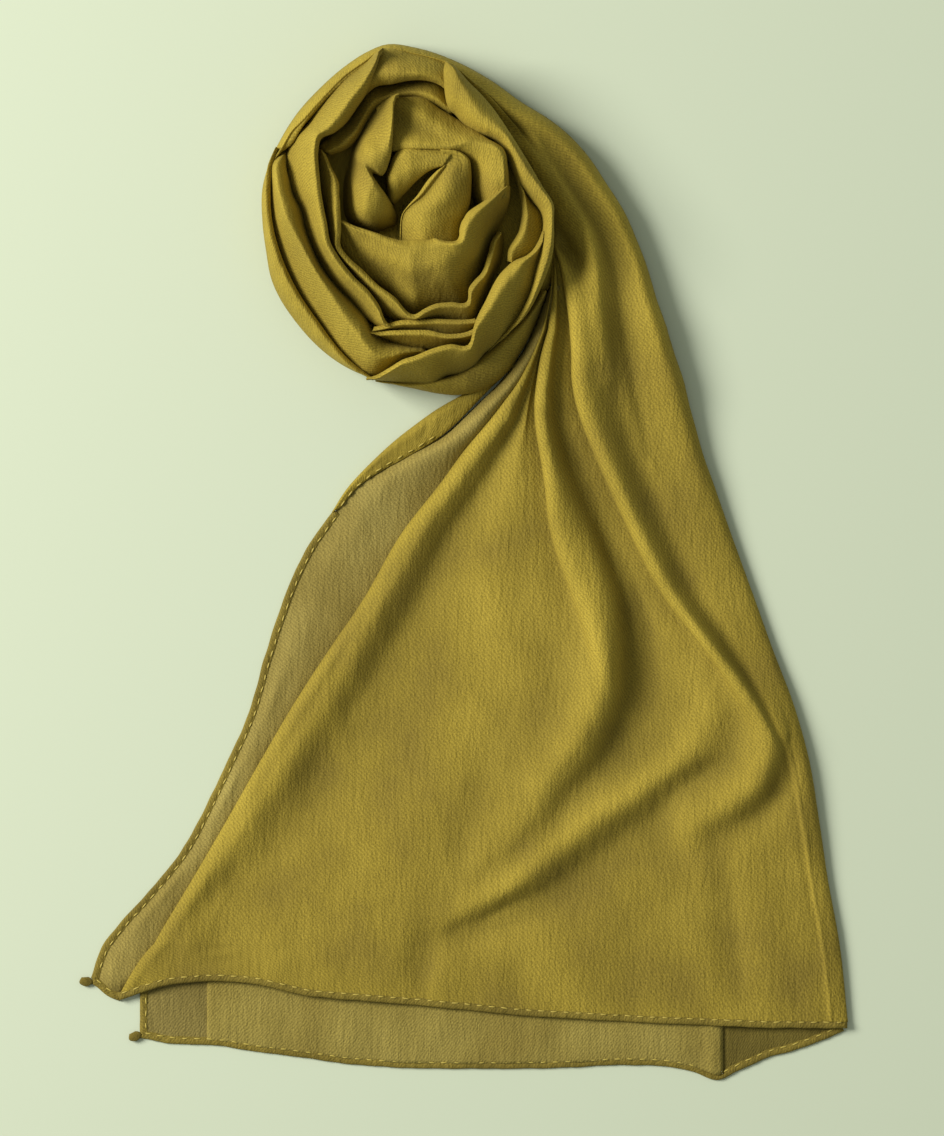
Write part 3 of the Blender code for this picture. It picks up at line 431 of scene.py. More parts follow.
def front_section(left, a, b, right, rise):
    """Points across the stretch: (share of the way along its four rails, height)."""
    (edge, valley_at, valley, plane, under_a, top_a, trough_at, trough, under_b, top_b, dip,
     side) = rise
    w0, w1, w2 = a - left, b - a, right - b
    roll = min(10.0, 0.42 * w0)
    fold_a = min(1.0, max(0.0, (top_a - under_a) / 7))
    fold_b = min(1.0, max(0.0, (top_b - under_b) / 7))
    small_a, small_b = min(1.0, w0 / 12), min(1.0, w1 / 8)
    v = left + roll + valley_at * (w0 - roll)
    p = 0.5 * (v + a)
    reach_a = blend(min(9.0, 0.3 * w1), min(5.0, 0.3 * w1), fold_a)
    reach_b = blend(min(9.0, 0.3 * w2), min(5.5, 0.3 * w2), fold_b)
    base = 1.6
    return [
        (left + 0.35 * roll, base), (left + 0.05 * roll, base + 0.25),
        (left, base + 0.45 * (edge - base)), (left + 0.22 * roll, base + 0.80 * (edge - base)),
        (left + 0.55 * roll, base + 0.97 * (edge - base)), (left + roll, edge - 0.4),
        (0.5 * (left + roll + v), 0.5 * (edge + valley)), (v, valley), (p, plane),
        (a - 0.14 * w0, 0.5 * (plane + under_a)),
        (a + blend(-3.5, 1.2, fold_a) * small_a, under_a),
        (a - 0.3 * fold_a * small_a, 0.55 * under_a + 0.45 * top_a),
        (a + blend(0.4, 0.2, fold_a) * reach_a, top_a - 0.12 * (top_a - under_a)),
        (a + reach_a, top_a), (a + trough_at * w1, trough), (b - 0.18 * w1, under_b + 0.4),
        (b + blend(-3.5, 1.4, fold_b) * small_b, under_b),
        (b - 0.3 * fold_b * small_b, 0.55 * under_b + 0.45 * top_b),
        (b + blend(0.4, 0.2, fold_b) * reach_b, top_b - 0.12 * (top_b - under_b)),
        (b + reach_b, top_b),
        (b + dip * w2, side), (0.5 * (b + dip * w2 + right - 7), side + 0.8),
        (right - 6.5, side + 0.2), (right - 2.4, base + 0.78 * (side - base)),
        (right - 0.2, base + 0.42 * (side - base)), (right - 0.4, base + 0.2), (right - 3.5, base),
    ]


# Steps between the points of a section: across the front, and across a wound stretch.
FRONT_STEPS = (2, 2, 3, 3, 4, 5, 6, 9, 9, 7, 3, 3, 3, 8, 7, 4, 3, 3, 3, 8, 9, 8, 4, 4, 2, 2)
WOUND_STEPS = (3, 3, 3, 4, 5, 5, 5, 5, 4, 3)
FOOT = 12.0           # where the inner side of a wound stretch starts, inside the winding
SECOND_FROM = 146.0   # angle past which the stretch becomes the second layer
SECOND_OVER = 14.0    # and the degrees that this takes
TAIL_TOP = 116.5      # y of the tail's first section
# The bend between the winding and the tail: how far along it the sections lie, and the rows.
BEND_SECTIONS = (0.0, 7.0, 15.0, 24.0, 33.0, 41.0)
BEND_ROWS = np.linspace(2.0, 39.5, 22)
ROW_GAP = 1.7         # spacing of the tail's rows


def along_section(points, count):
    """A section's points, evenly spaced along it."""
    points = np.asarray(points)
    keys = lengths_along(points)
    at = np.linspace(0, keys[-1], count)
    return np.stack([np.interp(at, keys, points[:, k]) for k in range(2)], axis=1)


def turn_rise(share):
    """Heights round the winding, where the pleats are still tucked in below its rim."""
    return np.array((10, .4, 10, 10, 9, 11, .5, 11, 12, blend(28, 17, share), .30,
                     blend(26, 17, share)))


def front_grid():
    rows = []
    tail_rise = table(RISES, [TAIL_TOP])[0]
    for angle in np.arange(277, -13, -2.0):
        joined = min(1.0, max(0.0, (angle - SECOND_FROM) / SECOND_OVER))
        joined = joined * joined * (3 - 2 * joined)
        inner = radius_at(TURN_IN, angle)
        outer = radius_at(TURN_OUT, angle)
        width = outer - inner
        share = min(1.0, max(0.0, (50 - angle) / 62))
        line = front_section(0, 0.8, 1.8, width, turn_rise(share))
        section = smooth_section(line, FRONT_STEPS)
        if joined > 0:
            values = table(SECOND, [angle])[0]
            second = smooth_section(wound_line(width, FOOT, *values), WOUND_STEPS)
            second = along_section(second, len(section))
            section = blend(section, second, joined)
        start, end = polar(angle, inner), polar(angle, outer)
        way = (end - start) / width
        rows.append([(start[0] + way[0] * d, start[1] + way[1] * d, z) for d, z in section])
    previous = np.array(rows[-1])
    gather = []
    for weight, row in zip((0.25, 0.5, 0.75, 0.95), GATHER):
        left, right = np.array((row.left_x, row.left_y)), np.array((row.right_x, row.right_y))
        a, b = np.array((row.a_x, row.a_y)), np.array((row.b_x, row.b_y))
        d_a, d_b, d_r = (np.linalg.norm(p - left) for p in (a, b, right))
        rise = blend(turn_rise(1.0), tail_rise, weight)
        section = smooth_section(front_section(0, d_a, d_b, d_r, rise), FRONT_STEPS)
        ring = []
        for d, z in section:
            if d <= d_a:
                p = left + (a - left) * d / d_a
            elif d <= d_b:
                p = a + (b - a) * (d - d_a) / (d_b - d_a)
            else:
                p = b + (right - b) * (d - d_b) / (d_r - d_b)
            ring.append((p[0], p[1], z))
        gather.append(ring)
    levels = list(np.arange(TAIL_TOP + 0.5, HEM_LEVEL - 0.01, -ROW_GAP)) + [HEM_LEVEL]
    rails = table(RAILS, levels)
    rises = table(RISES, levels)
    down = []
    for level, rail, rise in zip(levels, rails, rises):
        section = smooth_section(front_section(*rail, rise), FRONT_STEPS)
        ring = []
        for x, z in section:
            y = level
            if level < LAST_LEVEL:
                t = (level - LAST_LEVEL) / (HEM_LEVEL - LAST_LEVEL)
                edge = height_of(FRONT_EDGE, x)
                y = LAST_LEVEL + t * (edge + HEM * 0.8 - LAST_LEVEL)
            ring.append((x, y, z))
        down.append(ring)
    bend = np.array([previous, *gather, down[0]])
    shape = bend.shape
    fine = spline(BEND_SECTIONS, bend.reshape(shape[0], -1), BEND_ROWS)
    grid = np.concatenate((np.array(rows), fine.reshape(-1, *shape[1:]), np.array(down)))
    x, y, z = grid[..., 0], grid[..., 1], grid[..., 2]
    columns = np.arange(grid.shape[1])
    edge_fade = np.clip(np.minimum(columns - 8, len(columns) - 9 - columns) / 6.0, 0, 1)[None, :]
    below = np.clip((95 - y) / 60, 0, 1)
    z += crease_rise(x, y, CREASES) * edge_fade
    fine_noise = np.array([
        noise.noise(Vector((px / 16 + py / 60, py / 48 - px / 90, 3.1))) * 0.9
        + noise.noise(Vector((px / 7 + py / 30, py / 30, 7.7))) * 0.35
        for px, py in zip(x.reshape(-1), y.reshape(-1))
    ]).reshape(x.shape)
    z += fine_noise * edge_fade * (0.35 + 0.65 * below)
    inside = edge_fade > 0
    grid[..., 2] = np.where(inside, np.maximum(z, LOWEST), z)
    return grid


front_points = front_grid()
cloth_piece("front_cloth", front_points, ("front_panel", "outer_turn", "gathers", "second_left"),
            olive)


# The winding.
# The rest of the cloth is coiled inside the outer turn. Each stretch that shows has a
# crisp fold for its inner side, a wall that drops from it into the crevice, and a face that
# slopes outwards until it goes in below the next stretch.

def wound_grid(inner, outer, first, last, rows, foot=FOOT, on_floor=False, tuck=0.0, wave=0.5,
               seed=1.0, creases=()):
    """A stretch between two lines round the centre; rows are those of a table of rolls."""
    rows = rows_of(Roll, *rows)
    angles = np.linspace(first, last, max(int((last - first) / 1.5), 14))
    values = table(rows, angles)
    grid = []
    for angle, (share, low, top, out, bulge) in zip(angles, values):
        r0, r1 = radius_at(inner, angle), radius_at(outer, angle)
        w = max(r1 - r0, 1.2)
        line = wound_line(w, foot, share, low, top, out, bulge)
        if on_floor:
            c = line[5][0]
            line = line[:6] + [(c + 0.35 * (w - c), top * 0.92), (c + 0.75 * (w - c), top * 0.70),
                               (w, top * 0.38), (w - 1.0, top * 0.14), (w - 3.5, 0.4)]
        elif tuck:
            line[-2:] = [(w - 0.3 * tuck, out - 3), (w - tuck, max(out - 12, 8))]
        section = smooth_section(line, WOUND_STEPS)
        a = math.radians(angle)
        for k, (d, z) in enumerate(section):
            bend = math.sin(math.pi * min(max((k - 9) / (len(section) - 17), 0), 1))
            r = r0 + d
            x, y = CENTRE_X + r * math.cos(a), CENTRE_Y + r * math.sin(a)
            z += wave * bend * 3.0 * noise.noise(Vector((x / 16, y / 16, seed)))
            z += wave * bend * 1.3 * noise.noise(Vector((x / 6.5, y / 6.5, seed + 9)))
            grid.append((x, y, z))
    grid = np.array(grid).reshape(len(angles), -1, 3)
    if creases:
        columns = np.arange(grid.shape[1])
        fade = np.clip(np.minimum(columns - 8, grid.shape[1] - 8 - columns) / 5, 0, 1)[None, :]
        x, y = grid[..., 0] - CENTRE_X, grid[..., 1] - CENTRE_Y
        grid[..., 2] += crease_rise(x, y, creases) * fade
    return grid


def rolled(name, inner, outer, first, last, rows, nodes, **options):
    grid = wound_grid(inner, outer, first, last, rows, **options)
    return cloth_piece(name, grid, nodes, olive)


# The hidden layers under the rosette, which the crevices go down to.
CORE_EDGE = rows_of(
    Line, (-32, 80.0), (-12, 79.0), (0, 78.0), (12, 75.0), (40, 72.0), (75, 76.0), (100, 78.0),
    (130, 70.0), (160, 68.0), (200, 69.0), (240, 74.0), (264, 77.0), (285, 84.0), (300, 86.0),
    (311, 83.0), (328, 80.0),
)
core_angles = np.arange(-32, 329, 6)
core_rows = []
for level, share in ((0.3, 0.97), (9.0, 0.97), (11.4, 0.94), (12.0, 0.80), (12.0, 0.40),
                     (12.0, 0.02)):
    core_rows.append([(*polar(a, radius_at(CORE_EDGE, a) * share), level) for a in core_angles])
cloth_piece("core_cloth", np.array(core_rows), ("core_layers",), olive)

# The outermost layers at the left and the bottom, which rest on the table.
RIM = rows_of(
    Line, (150, 75.4), (162, 75.2), (167, 75.1), (181, 73.5), (193, 73.5), (203, 75.2),
    (223, 76.7), (246, 80.3), (264, 82.6), (272, 84.7), (279, 88.0), (285, 90.8), (292, 92.3),
    (300, 91.5), (311, 86.0), (324, 80.0), (335, 76.5),
)
CREST_LEFT = rows_of(
    Line, (150, 74.5), (160, 72.5), (172, 69.8), (182, 68.2), (197, 66.4), (212, 66.3),
    (230, 69.0), (247, 76.6), (257, 81.3),
)
BOTTOM_IN = rows_of(
    Line, (262, 81.5), (270, 81.0), (280, 81.0), (289, 80.0), (294, 78.0), (300, 76.3),
    (306, 75.0), (324, 75.0), (334, 74.5),
)
rolled("outer_left_cloth", CREST_LEFT, RIM, 152, 257, (
    (152, .10, 22, 25, 0, .3), (165, .12, 24, 27, 0, .3), (210, .12, 25, 28, 0, .3),
    (257, .15, 22, 25, 0, .3),
), ("outer_left",), foot=4.0, on_floor=True, seed=2.0)
rolled("outer_bottom_cloth", BOTTOM_IN, RIM, 258, 332, (
    (258, .30, 10, 14, 0, .3), (270, .30, 12, 17, 0, .3), (300, .30, 12, 19, 0, .3),
    (332, .40, 14, 19, 0, .3),
), ("outer_bottom",), foot=2.0, on_floor=True, seed=3.0)

# Ring A: the bright stretch at the left of the rosette, with a corner where it is folded.
A_OUT = rows_of(
    Line, (98, 84.5), (100, 84.0), (105, 80.2), (115, 76.3), (122, 72.9), (129, 70.2),
    (138, 68.2), (144, 69.5), (154, 67.5), (160, 64.3), (168, 59.4), (175, 54.3), (186, 52.0),
    (196, 50.6), (221, 49.7), (238, 50.9), (248, 53.6), (257, 55.4), (260, 54.6),
)
A_IN = rows_of(
    Line, (98, 84.0), (100, 82.0), (102, 76.6), (108, 66.4), (116, 60.0), (123, 56.6),
    (132, 56.1), (139, 58.3), (143, 56.3), (154, 49.6), (167, 44.5), (183, 41.1), (199, 41.0),
    (209, 40.2), (228, 40.4), (244, 42.7), (252, 47.0), (258, 53.5), (260, 54.2),
)
rolled("ring_a_cloth", A_IN, A_OUT, 99, 260, (
    (99, .45, 36, 41, 32, .3), (110, .35, 33, 43, 26, .3), (125, .32, 30, 43, 25, .3),
    (140, .20, 36, 43, 24, .3), (152, .12, 39, 43, 22, .3), (180, .10, 38, 41, 18, .3),
    (215, .12, 36, 40, 18, .3), (240, .12, 35, 38, 20, .3), (260, .30, 32, 35, 30, .3),
), ("band_a", "band_a_low"), seed=5.0)

# The narrow edges between ring A's corner and the bottom bands.
C_TOP = rows_of(
    Line, (250, 58.0), (256, 55.0), (264, 51.4), (273, 50.8), (286, 52.4), (295, 56.0),
    (302, 59.5),
)
C_MIDDLE = rows_of(
    Line, (250, 60.2), (261, 56.7), (273, 55.9), (279, 56.6), (289, 61.2), (300, 63.7),
    (305, 62.6),
)
C_BOTTOM = rows_of(
    Line, (250, 60.2), (253, 60.5), (264, 62.4), (272, 63.9), (280, 65.2), (288, 66.2),
    (298, 68.0), (304, 66.0),
)
rolled("band_c1_cloth", C_TOP, C_MIDDLE, 252, 303, (
    (252, .15, 28, 31, 22, .2), (275, .15, 30, 33, 22, .2), (303, .15, 32, 35, 26, .2),
), ("band_c",), seed=6.0, wave=0.3)
rolled("band_c2_cloth", C_MIDDLE, C_BOTTOM, 250, 303, (
    (250, .12, 28, 30, 18, .2), (275, .12, 30, 32, 18, .2), (303, .12, 32, 34, 20, .2),
), ("band_c",), seed=6.5, wave=0.3)

# The deep band at the bottom, which runs up the right side inside the edge band.
D_OUT = rows_of(
    Line, (254, 82.6), (266, 81.8), (273, 82.9), (278, 83.6), (282, 80.8), (290, 81.2),
    (293, 80.4), (299, 76.8), (309, 76.0), (319, 74.2), (328, 71.6), (338, 68.3), (346, 67.6),
    (355, 67.0),
)
D_IN = rows_of(
    Line, (254, 82.5), (257, 81.0), (262, 75.8), (267, 71.0), (272, 69.0), (279, 66.5),
    (288, 66.4), (295, 69.7), (300, 63.4), (313, 55.8), (332, 53.8), (338, 56.5), (342, 61.0),
    (350, 65.0), (355, 66.3),
)
rolled("band_d_cloth", D_IN, D_OUT, 255, 354, (
    (255, .20, 30, 33, 14, .3), (264, .12, 36, 40, 14, .3), (276, .10, 39, 42, 14, .3),
    (295, .12, 39, 42, 16, .3), (305, .20, 36, 43, 18, .4), (320, .25, 34, 43, 20, .4),
    (336, .35, 30, 41, 26, .4), (354, .30, 28, 35, 30, .3),
), ("band_d",), seed=7.0, tuck=1.5)

# The edge band at the right: it rises outwards to a crisp fold that stands over the hollow
# of the outer turn.
E_IN = rows_of(
    Line, (-62, 76.6), (-54, 74.6), (-41, 72.5), (-32, 70.5), (-22, 67.5), (-12, 66.2),
    (-7, 66.2), (2, 65.2), (8, 61.0), (16, 56.8), (31, 56.5), (39, 57.6), (51, 53.4), (65, 55.4),
    (73, 61.5), (76, 70.0), (77.5, 77.5),
)
LIP_RIGHT = rows_of(
    Line, (-62, 77.4), (-54, 75.6), (-40, 75.5), (-28, 74.0), (-12, 73.0), (-6, 72.0), (0, 71.6),
    (4, 71.8), (12, 67.9), (24, 64.9), (40, 65.0), (57, 69.6), (67, 73.5), (75, 78.8),
    (77.5, 79.4),
)
rolled("band_e_cloth", E_IN, LIP_RIGHT, -60, 77, (
    (-60, .45, 14, 17, 14, 1.), (-50, .50, 20, 26, 22, 1.), (-36, .55, 26, 34, 28, 1.),
    (-15, .70, 26, 40, 37, 1.), (4, .84, 26, 43, 41, 1.), (20, .72, 26, 43, 39, 1.),
    (40, .62, 26, 43, 36, 1.), (58, .55, 26, 43, 34, 1.), (68, .74, 28, 43, 36, 1.),
    (74, .90, 32, 43, 38, 1.), (77, .90, 36, 41, 38, 1.),
), ("band_e",), seed=8.0, tuck=3.0)

# Inside it at the right, a short stretch that goes down behind the petals.
F_IN = rows_of(
    Line, (-24, 53.2), (-20, 51.8), (-6, 54.8), (4, 55.8), (13, 55.9), (22, 56.0),
)
F_OUT = rows_of(
    Line, (-24, 57.0), (-19, 60.5), (-12, 66.0), (-7, 66.2), (2, 65.2), (8, 61.0), (16, 57.5),
    (22, 57.4),
)
rolled("band_f_cloth", F_IN, F_OUT, -24, 21, (
    (-24, .20, 28, 33, 28, .3), (-8, .25, 26, 35, 26, .3), (21, .30, 24, 32, 26, .3),
), ("band_f",), seed=9.0)

# The top band, between the outer turn and the recess behind the petals.
TOP_IN = rows_of(
    Line, (64, 60.0), (70, 63.5), (78, 67.5), (84, 68.2), (90, 67.7), (98, 66.6), (104, 67.0),
    (112, 63.0),
)
TOP_OUT = rows_of(
    Line, (64, 72.0), (74, 77.5), (84, 80.2), (90, 81.4), (96, 83.6), (100, 84.0), (104, 80.0),
    (112, 70.0),
)
rolled("band_top_cloth", TOP_IN, TOP_OUT, 66, 111, (
    (66, .25, 24, 30, 20, .4), (76, .25, 30, 36, 26, .4), (90, .25, 33, 39, 28, .4),
    (102, .35, 30, 38, 30, .4), (111, .4, 24, 32, 26, .4),
), ("band_top",), seed=10.0)

# The recess behind the petals at the top, low between the bands.
G_IN = rows_of(
    Line, (66, 54.0), (80, 58.0), (90, 59.5), (98, 58.5), (108, 56.0), (112, 53.4), (124, 47.0),
    (135, 47.0), (143, 51.0),
)
G_OUT = rows_of(
    Line, (66, 58.0), (72, 63.0), (78, 67.5), (84, 68.2), (90, 67.7), (98, 66.6), (108, 66.4),
    (116, 60.0), (123, 56.6), (132, 56.1), (143, 57.0),
)
rolled("band_g_cloth", G_IN, G_OUT, 68, 142, (
    (68, .30, 18, 26, 20, .3), (80, .35, 22, 30, 22, .3), (90, .35, 20, 28, 20, .3),
    (110, .35, 22, 29, 20, .3), (128, .35, 22, 29, 20, .3), (142, .30, 22, 28, 22, .3),
), ("band_g", "sliver"), seed=11.0)

# Ring B: the narrow stretch inside ring A, folded at two corners at the bottom.
B_IN = rows_of(
    Line, (142, 54.0), (144, 50.3), (147, 46.6), (150, 42.5), (164, 36.2), (177, 34.3),
    (191, 34.5), (202, 36.9), (215, 35.9), (227, 34.9), (246, 37.2), (260, 40.5), (273, 48.3),
    (279, 46.1), (287, 44.9), (296, 46.9), (305, 50.3), (309, 46.4), (315, 44.9), (322, 45.0),
    (336, 42.8), (346, 42.6), (352, 45.0),
)
B_OUT = rows_of(
    Line, (142, 56.6), (154, 49.8), (167, 44.7), (183, 41.3), (199, 41.2), (209, 40.4),
    (228, 40.6), (244, 42.9), (252, 46.5), (259, 49.8), (265, 50.8), (273, 51.2), (286, 52.0),
    (295, 55.8), (302, 59.2), (306, 57.4), (315, 53.0), (325, 50.0), (336, 49.0), (346, 47.0),
    (352, 46.0),
)
rolled("ring_b_cloth", B_IN, B_OUT, 143, 351, (
    (143, .20, 32, 36, 30, .3), (165, .14, 36, 38, 22, .3), (200, .14, 34, 36, 22, .3),
    (230, .14, 34, 37, 22, .3), (258, .18, 34, 37, 22, .3), (273, .18, 34, 37, 24, .3),
    (300, .18, 34, 37, 24, .3), (325, .25, 28, 33, 20, .3), (351, .35, 24, 28, 20, .3),
), ("band_b",), seed=12.0)

# The left petal: the inner end of the coil, standing up at the left of the bud.
PETAL_LEFT_OUT = rows_of(
    Line, (94, 60.8), (98, 60.0), (104, 57.6), (112, 52.7), (123, 47.1), (137, 40.2), (149, 37.1),
    (163, 33.7), (175, 31.7), (183, 29.6), (194, 23.5), (204, 19.0),
)
PETAL_LEFT_IN = rows_of(
    Line, (94, 59.6), (97.5, 57.0), (99, 50.0), (101, 42.5), (105, 34.0), (112, 28.0),
    (120, 25.0), (125, 25.0), (128, 27.5), (131, 28.0), (135, 17.5), (140, 12.5), (150, 9.0),
    (165, 6.5), (180, 5.9), (192, 6.2), (204, 7.0),
)
rolled("petal_left_cloth", PETAL_LEFT_IN, PETAL_LEFT_OUT, 95, 203, (
    (95, .30, 40, 44, 40, .4), (102, .20, 42, 46, 30, .4), (112, .30, 40, 46, 24, .6),
    (124, .45, 36, 45, 20, .8), (130, .40, 34, 43, 20, .8), (140, .45, 28, 43, 18, .8),
    (155, .55, 22, 42, 16, .8), (172, .60, 16, 38, 16, .6), (188, .60, 13, 29, 14, .6),
    (203, .55, 12, 16, 12, .5),
), ("petal_left",), seed=13.0)

# The top petal: its lower side is a fold over the bud, and at the right it turns up to a
# corner with a pocket inside it.
PETAL_TOP_OUT = rows_of(
    Line, (10, 49.6), (17, 50.8), (27, 53.7), (35, 56.4), (45, 53.9), (56, 53.2), (68, 54.0),
    (75, 55.5), (82, 58.7), (93, 59.2), (99, 59.6), (108, 56.0),
)
PETAL_TOP_IN = rows_of(
    Line, (10, 34.0), (20, 33.0), (35, 35.5), (46, 40.0), (50.5, 40.5), (56, 39.0), (67, 35.8),
    (86, 33.2), (99, 33.2), (108, 34.0),
)
rolled("petal_top_cloth", PETAL_TOP_IN, PETAL_TOP_OUT, 11, 107, (
    (11, .90, 16, 40, 38, 1.), (22, .90, 16, 43, 41, 1.), (33, .92, 18, 45, 44, 1.),
    (42, .88, 24, 45, 42, 1.), (50, .55, 34, 44, 36, .8), (58, .20, 40, 44, 30, .4),
    (70, .12, 41, 44, 28, .3), (90, .12, 40, 43, 30, .3), (107, .12, 34, 36, 28, .3),
), ("petal_top",), seed=14.0, creases=(
    Crease(-4.0, 5, 7, ((-12, 57), (2, 44), (18, 41))),
    Crease(2.0, 5, 5, ((4, 56), (14, 46), (26, 40))),
))

# The low petal, the widest, which sweeps across below the bud up to the same corner.
PETAL_LOW_OUT = rows_of(
    Line, (182, 34.6), (202, 36.6), (214, 36.0), (233, 34.9), (246, 35.4), (255, 37.3),
    (265, 43.5), (273, 48.0), (279, 46.0), (293, 45.7), (303, 48.5), (316, 44.9), (336, 41.7),
    (345, 41.6), (358, 45.1), (370, 49.4), (378, 51.4),
)
PETAL_LOW_IN = rows_of(
    Line, (182, 33.0), (187, 29.0), (194, 23.5), (206, 18.0), (220, 15.0), (235, 13.2),
    (249, 12.4), (265, 11.6), (283, 11.5), (300, 13.0), (314, 15.5), (321, 17.0), (325, 20.5),
    (333, 26.0), (338, 26.4), (345, 25.6), (358, 26.8), (367, 31.0), (372, 38.0), (378, 50.4),
)
rolled("petal_low_cloth", PETAL_LOW_IN, PETAL_LOW_OUT, 183, 377, (
    (183, .40, 30, 35, 28, .3), (200, .18, 34, 39, 22, .3), (225, .17, 35, 41, 19, .4),
    (255, .15, 36, 42, 18, .5), (285, .15, 37, 43, 18, .5), (312, .16, 37, 44, 18, .5),
    (330, .20, 38, 45, 17, .5), (345, .22, 37, 45, 18, .5), (360, .26, 37, 45, 22, .5),
    (370, .40, 39, 45, 32, .5), (377, .50, 40, 44, 40, .5),
), ("petal_low",), seed=15.0, creases=(
    Crease(-5.0, 5, 8, ((-34, -8), (-22, -22), (-8, -31), (4, -33))),
    Crease(3.0, 6, 6, ((-10, -20), (8, -26), (18, -22), (26, -10))),
    Crease(2.5, 5, 7, ((8, -36), (22, -28), (34, -12))),
    Crease(-2.5, 4, 5, ((-30, -2), (-18, -12), (-4, -18))),
))

# The wrap behind the bud.
WRAP_OUT = rows_of(
    Line, (54, 39.4), (60, 37.8), (66, 36.2), (77, 34.2), (85, 33.4), (97, 33.2), (104, 30.8),
    (109, 27.8), (117, 24.3), (127, 18.0), (140, 14.0),
)
WRAP_IN = rows_of(
    Line, (54, 30.9), (63, 26.8), (77, 19.4), (90, 14.5), (107, 11.6), (122, 10.2), (140, 9.8),
)
rolled("bud_wrap_cloth", WRAP_IN, WRAP_OUT, 56, 138, (
    (56, .60, 41, 43, 40, .5), (64, .66, 39, 43, 40, .6), (77, .80, 33, 43, 40, .8),
    (90, .82, 28, 43, 41, 1.), (105, .82, 25, 40, 36, 1.), (120, .75, 22, 34, 28, 1.),
    (138, .60, 16, 24, 20, 1.),
), ("bud_wrap",), seed=16.0)

# The bud: the very end of the cloth, a pointed fold that lies in the middle. It comes out of
# the wrap's right side, and its left side curls back in a thin lip that ends at the tip.
Bud = namedtuple("Bud", "step x_left y_left x_right y_right lip share left_z top right_z")
BUD = rows_of(
    Bud, (0, 17.5, 25.0, 15.5, 32.8, 1.0, .45, 41.5, 42.0, 42.8),
    (1, 17.4, 24.8, 23.4, 32.0, 1.2, .45, 41.5, 41.5, 42.8),
    (2, 16.5, 24.5, 28.8, 28.5, 1.8, .40, 42.0, 42.0, 42.0),
    (3, 13.5, 22.6, 30.0, 22.0, 3.0, .38, 41.0, 43.5, 39.5),
    (4, 8.9, 17.8, 30.0, 14.5, 3.8, .36, 39.0, 44.5, 36.0),
    (5, 4.0, 10.9, 29.2, 6.5, 3.0, .36, 36.0, 44.0, 33.5),
    (6, -1.1, 5.4, 27.2, 0.5, 1.4, .38, 33.0, 42.0, 31.5),
    (7, -4.2, 0.0, 24.8, -4.0, 0.8, .40, 30.0, 39.5, 29.5),
    (8, -5.0, -12.5, 23.6, -13.5, 0.8, .40, 27.0, 35.0, 27.0),
)
bud_steps = np.linspace(0, len(BUD) - 1, 64)
bud_rows = []
for x0, y0, x1, y1, lip, share, left_z, top, right_z in table(BUD, bud_steps):
    start, end = np.array((x0, y0)), np.array((x1, y1))
    w = float(np.linalg.norm(end - start))
    face = w - lip
    way = (end - start) / w
    groove = 1.3 * min(lip / 3, 1)
    line = [(0.8, left_z - 14), (0.3, left_z - 7), (0, left_z - 1.6), (0.45 * lip, left_z + 0.4),
            (lip, left_z - groove), (lip + 0.10 * face, left_z + 0.45 * (top - left_z)),
            (lip + share * face, top),
            (lip + (0.5 + 0.5 * share) * face, right_z + 0.72 * (top - right_z)), (w, right_z),
            (w + 0.8, right_z - 8)]
    section = smooth_section(line, (3, 3, 4, 4, 4, 6, 7, 6, 4))
    bud_rows.append([
        (CENTRE_X + start[0] + way[0] * d, CENTRE_Y + start[1] + way[1] * d,
         z + 0.8 * noise.noise(Vector((d / 8, y0 / 10, 17.0))))
        for d, z in section
    ])
cloth_piece("bud_cloth", np.array(bud_rows), ("bud",), olive)


# The flap.
# Left of the front's folded edge one layer of the cloth shows alone. It is sheer, so the
# table's pale green shows through it; below the rosette a strip of it is turned back.

sheer = make_cloth("olive_sheer", "#8d7c3a", "#998844", "#a4944e", alpha=0.86)
FLAP_EDGE = rows_of(
    Point, (42.0, 138.0), (39.0, 129.0), (34.5, 116.5), (30.0, 107.0), (23.5, 97.5), (17.0, 89.5),
    (9.0, 81.5), (0.0, 73.0), (-14.8, 61.0), (-26.0, 55.6), (-41.5, 47.2), (-53.5, 39.2),
    (-62.0, 29.0), (-68.5, 19.0), (-75.5, 8.0), (-81.5, -3.0), (-91.0, -27.0), (-98.0, -49.0),
    (-105.5, -75.0), (-117.0, -101.5), (-128.5, -125.5), (-140.0, -146.0), (-149.5, -158.0),
    (-159.5, -169.5), (-171.0, -182.0), (-179.0, -193.0), (-184.0, -207.0),
)
FLAP_END = rows_of(
    Point, (-184.3, -209.5), (-178.0, -214.8), (-172.0, -217.0), (-158.0, -209.0),
)


FLAP_TOP, FLAP_FOOT, FLAP_GAP = 138.0, -206.0, -2.4    # y of its rows, and their spacing
FLAP_COLUMNS = 44
FLAP_UNDER = 5.0      # how far it goes in under the front's folded edge


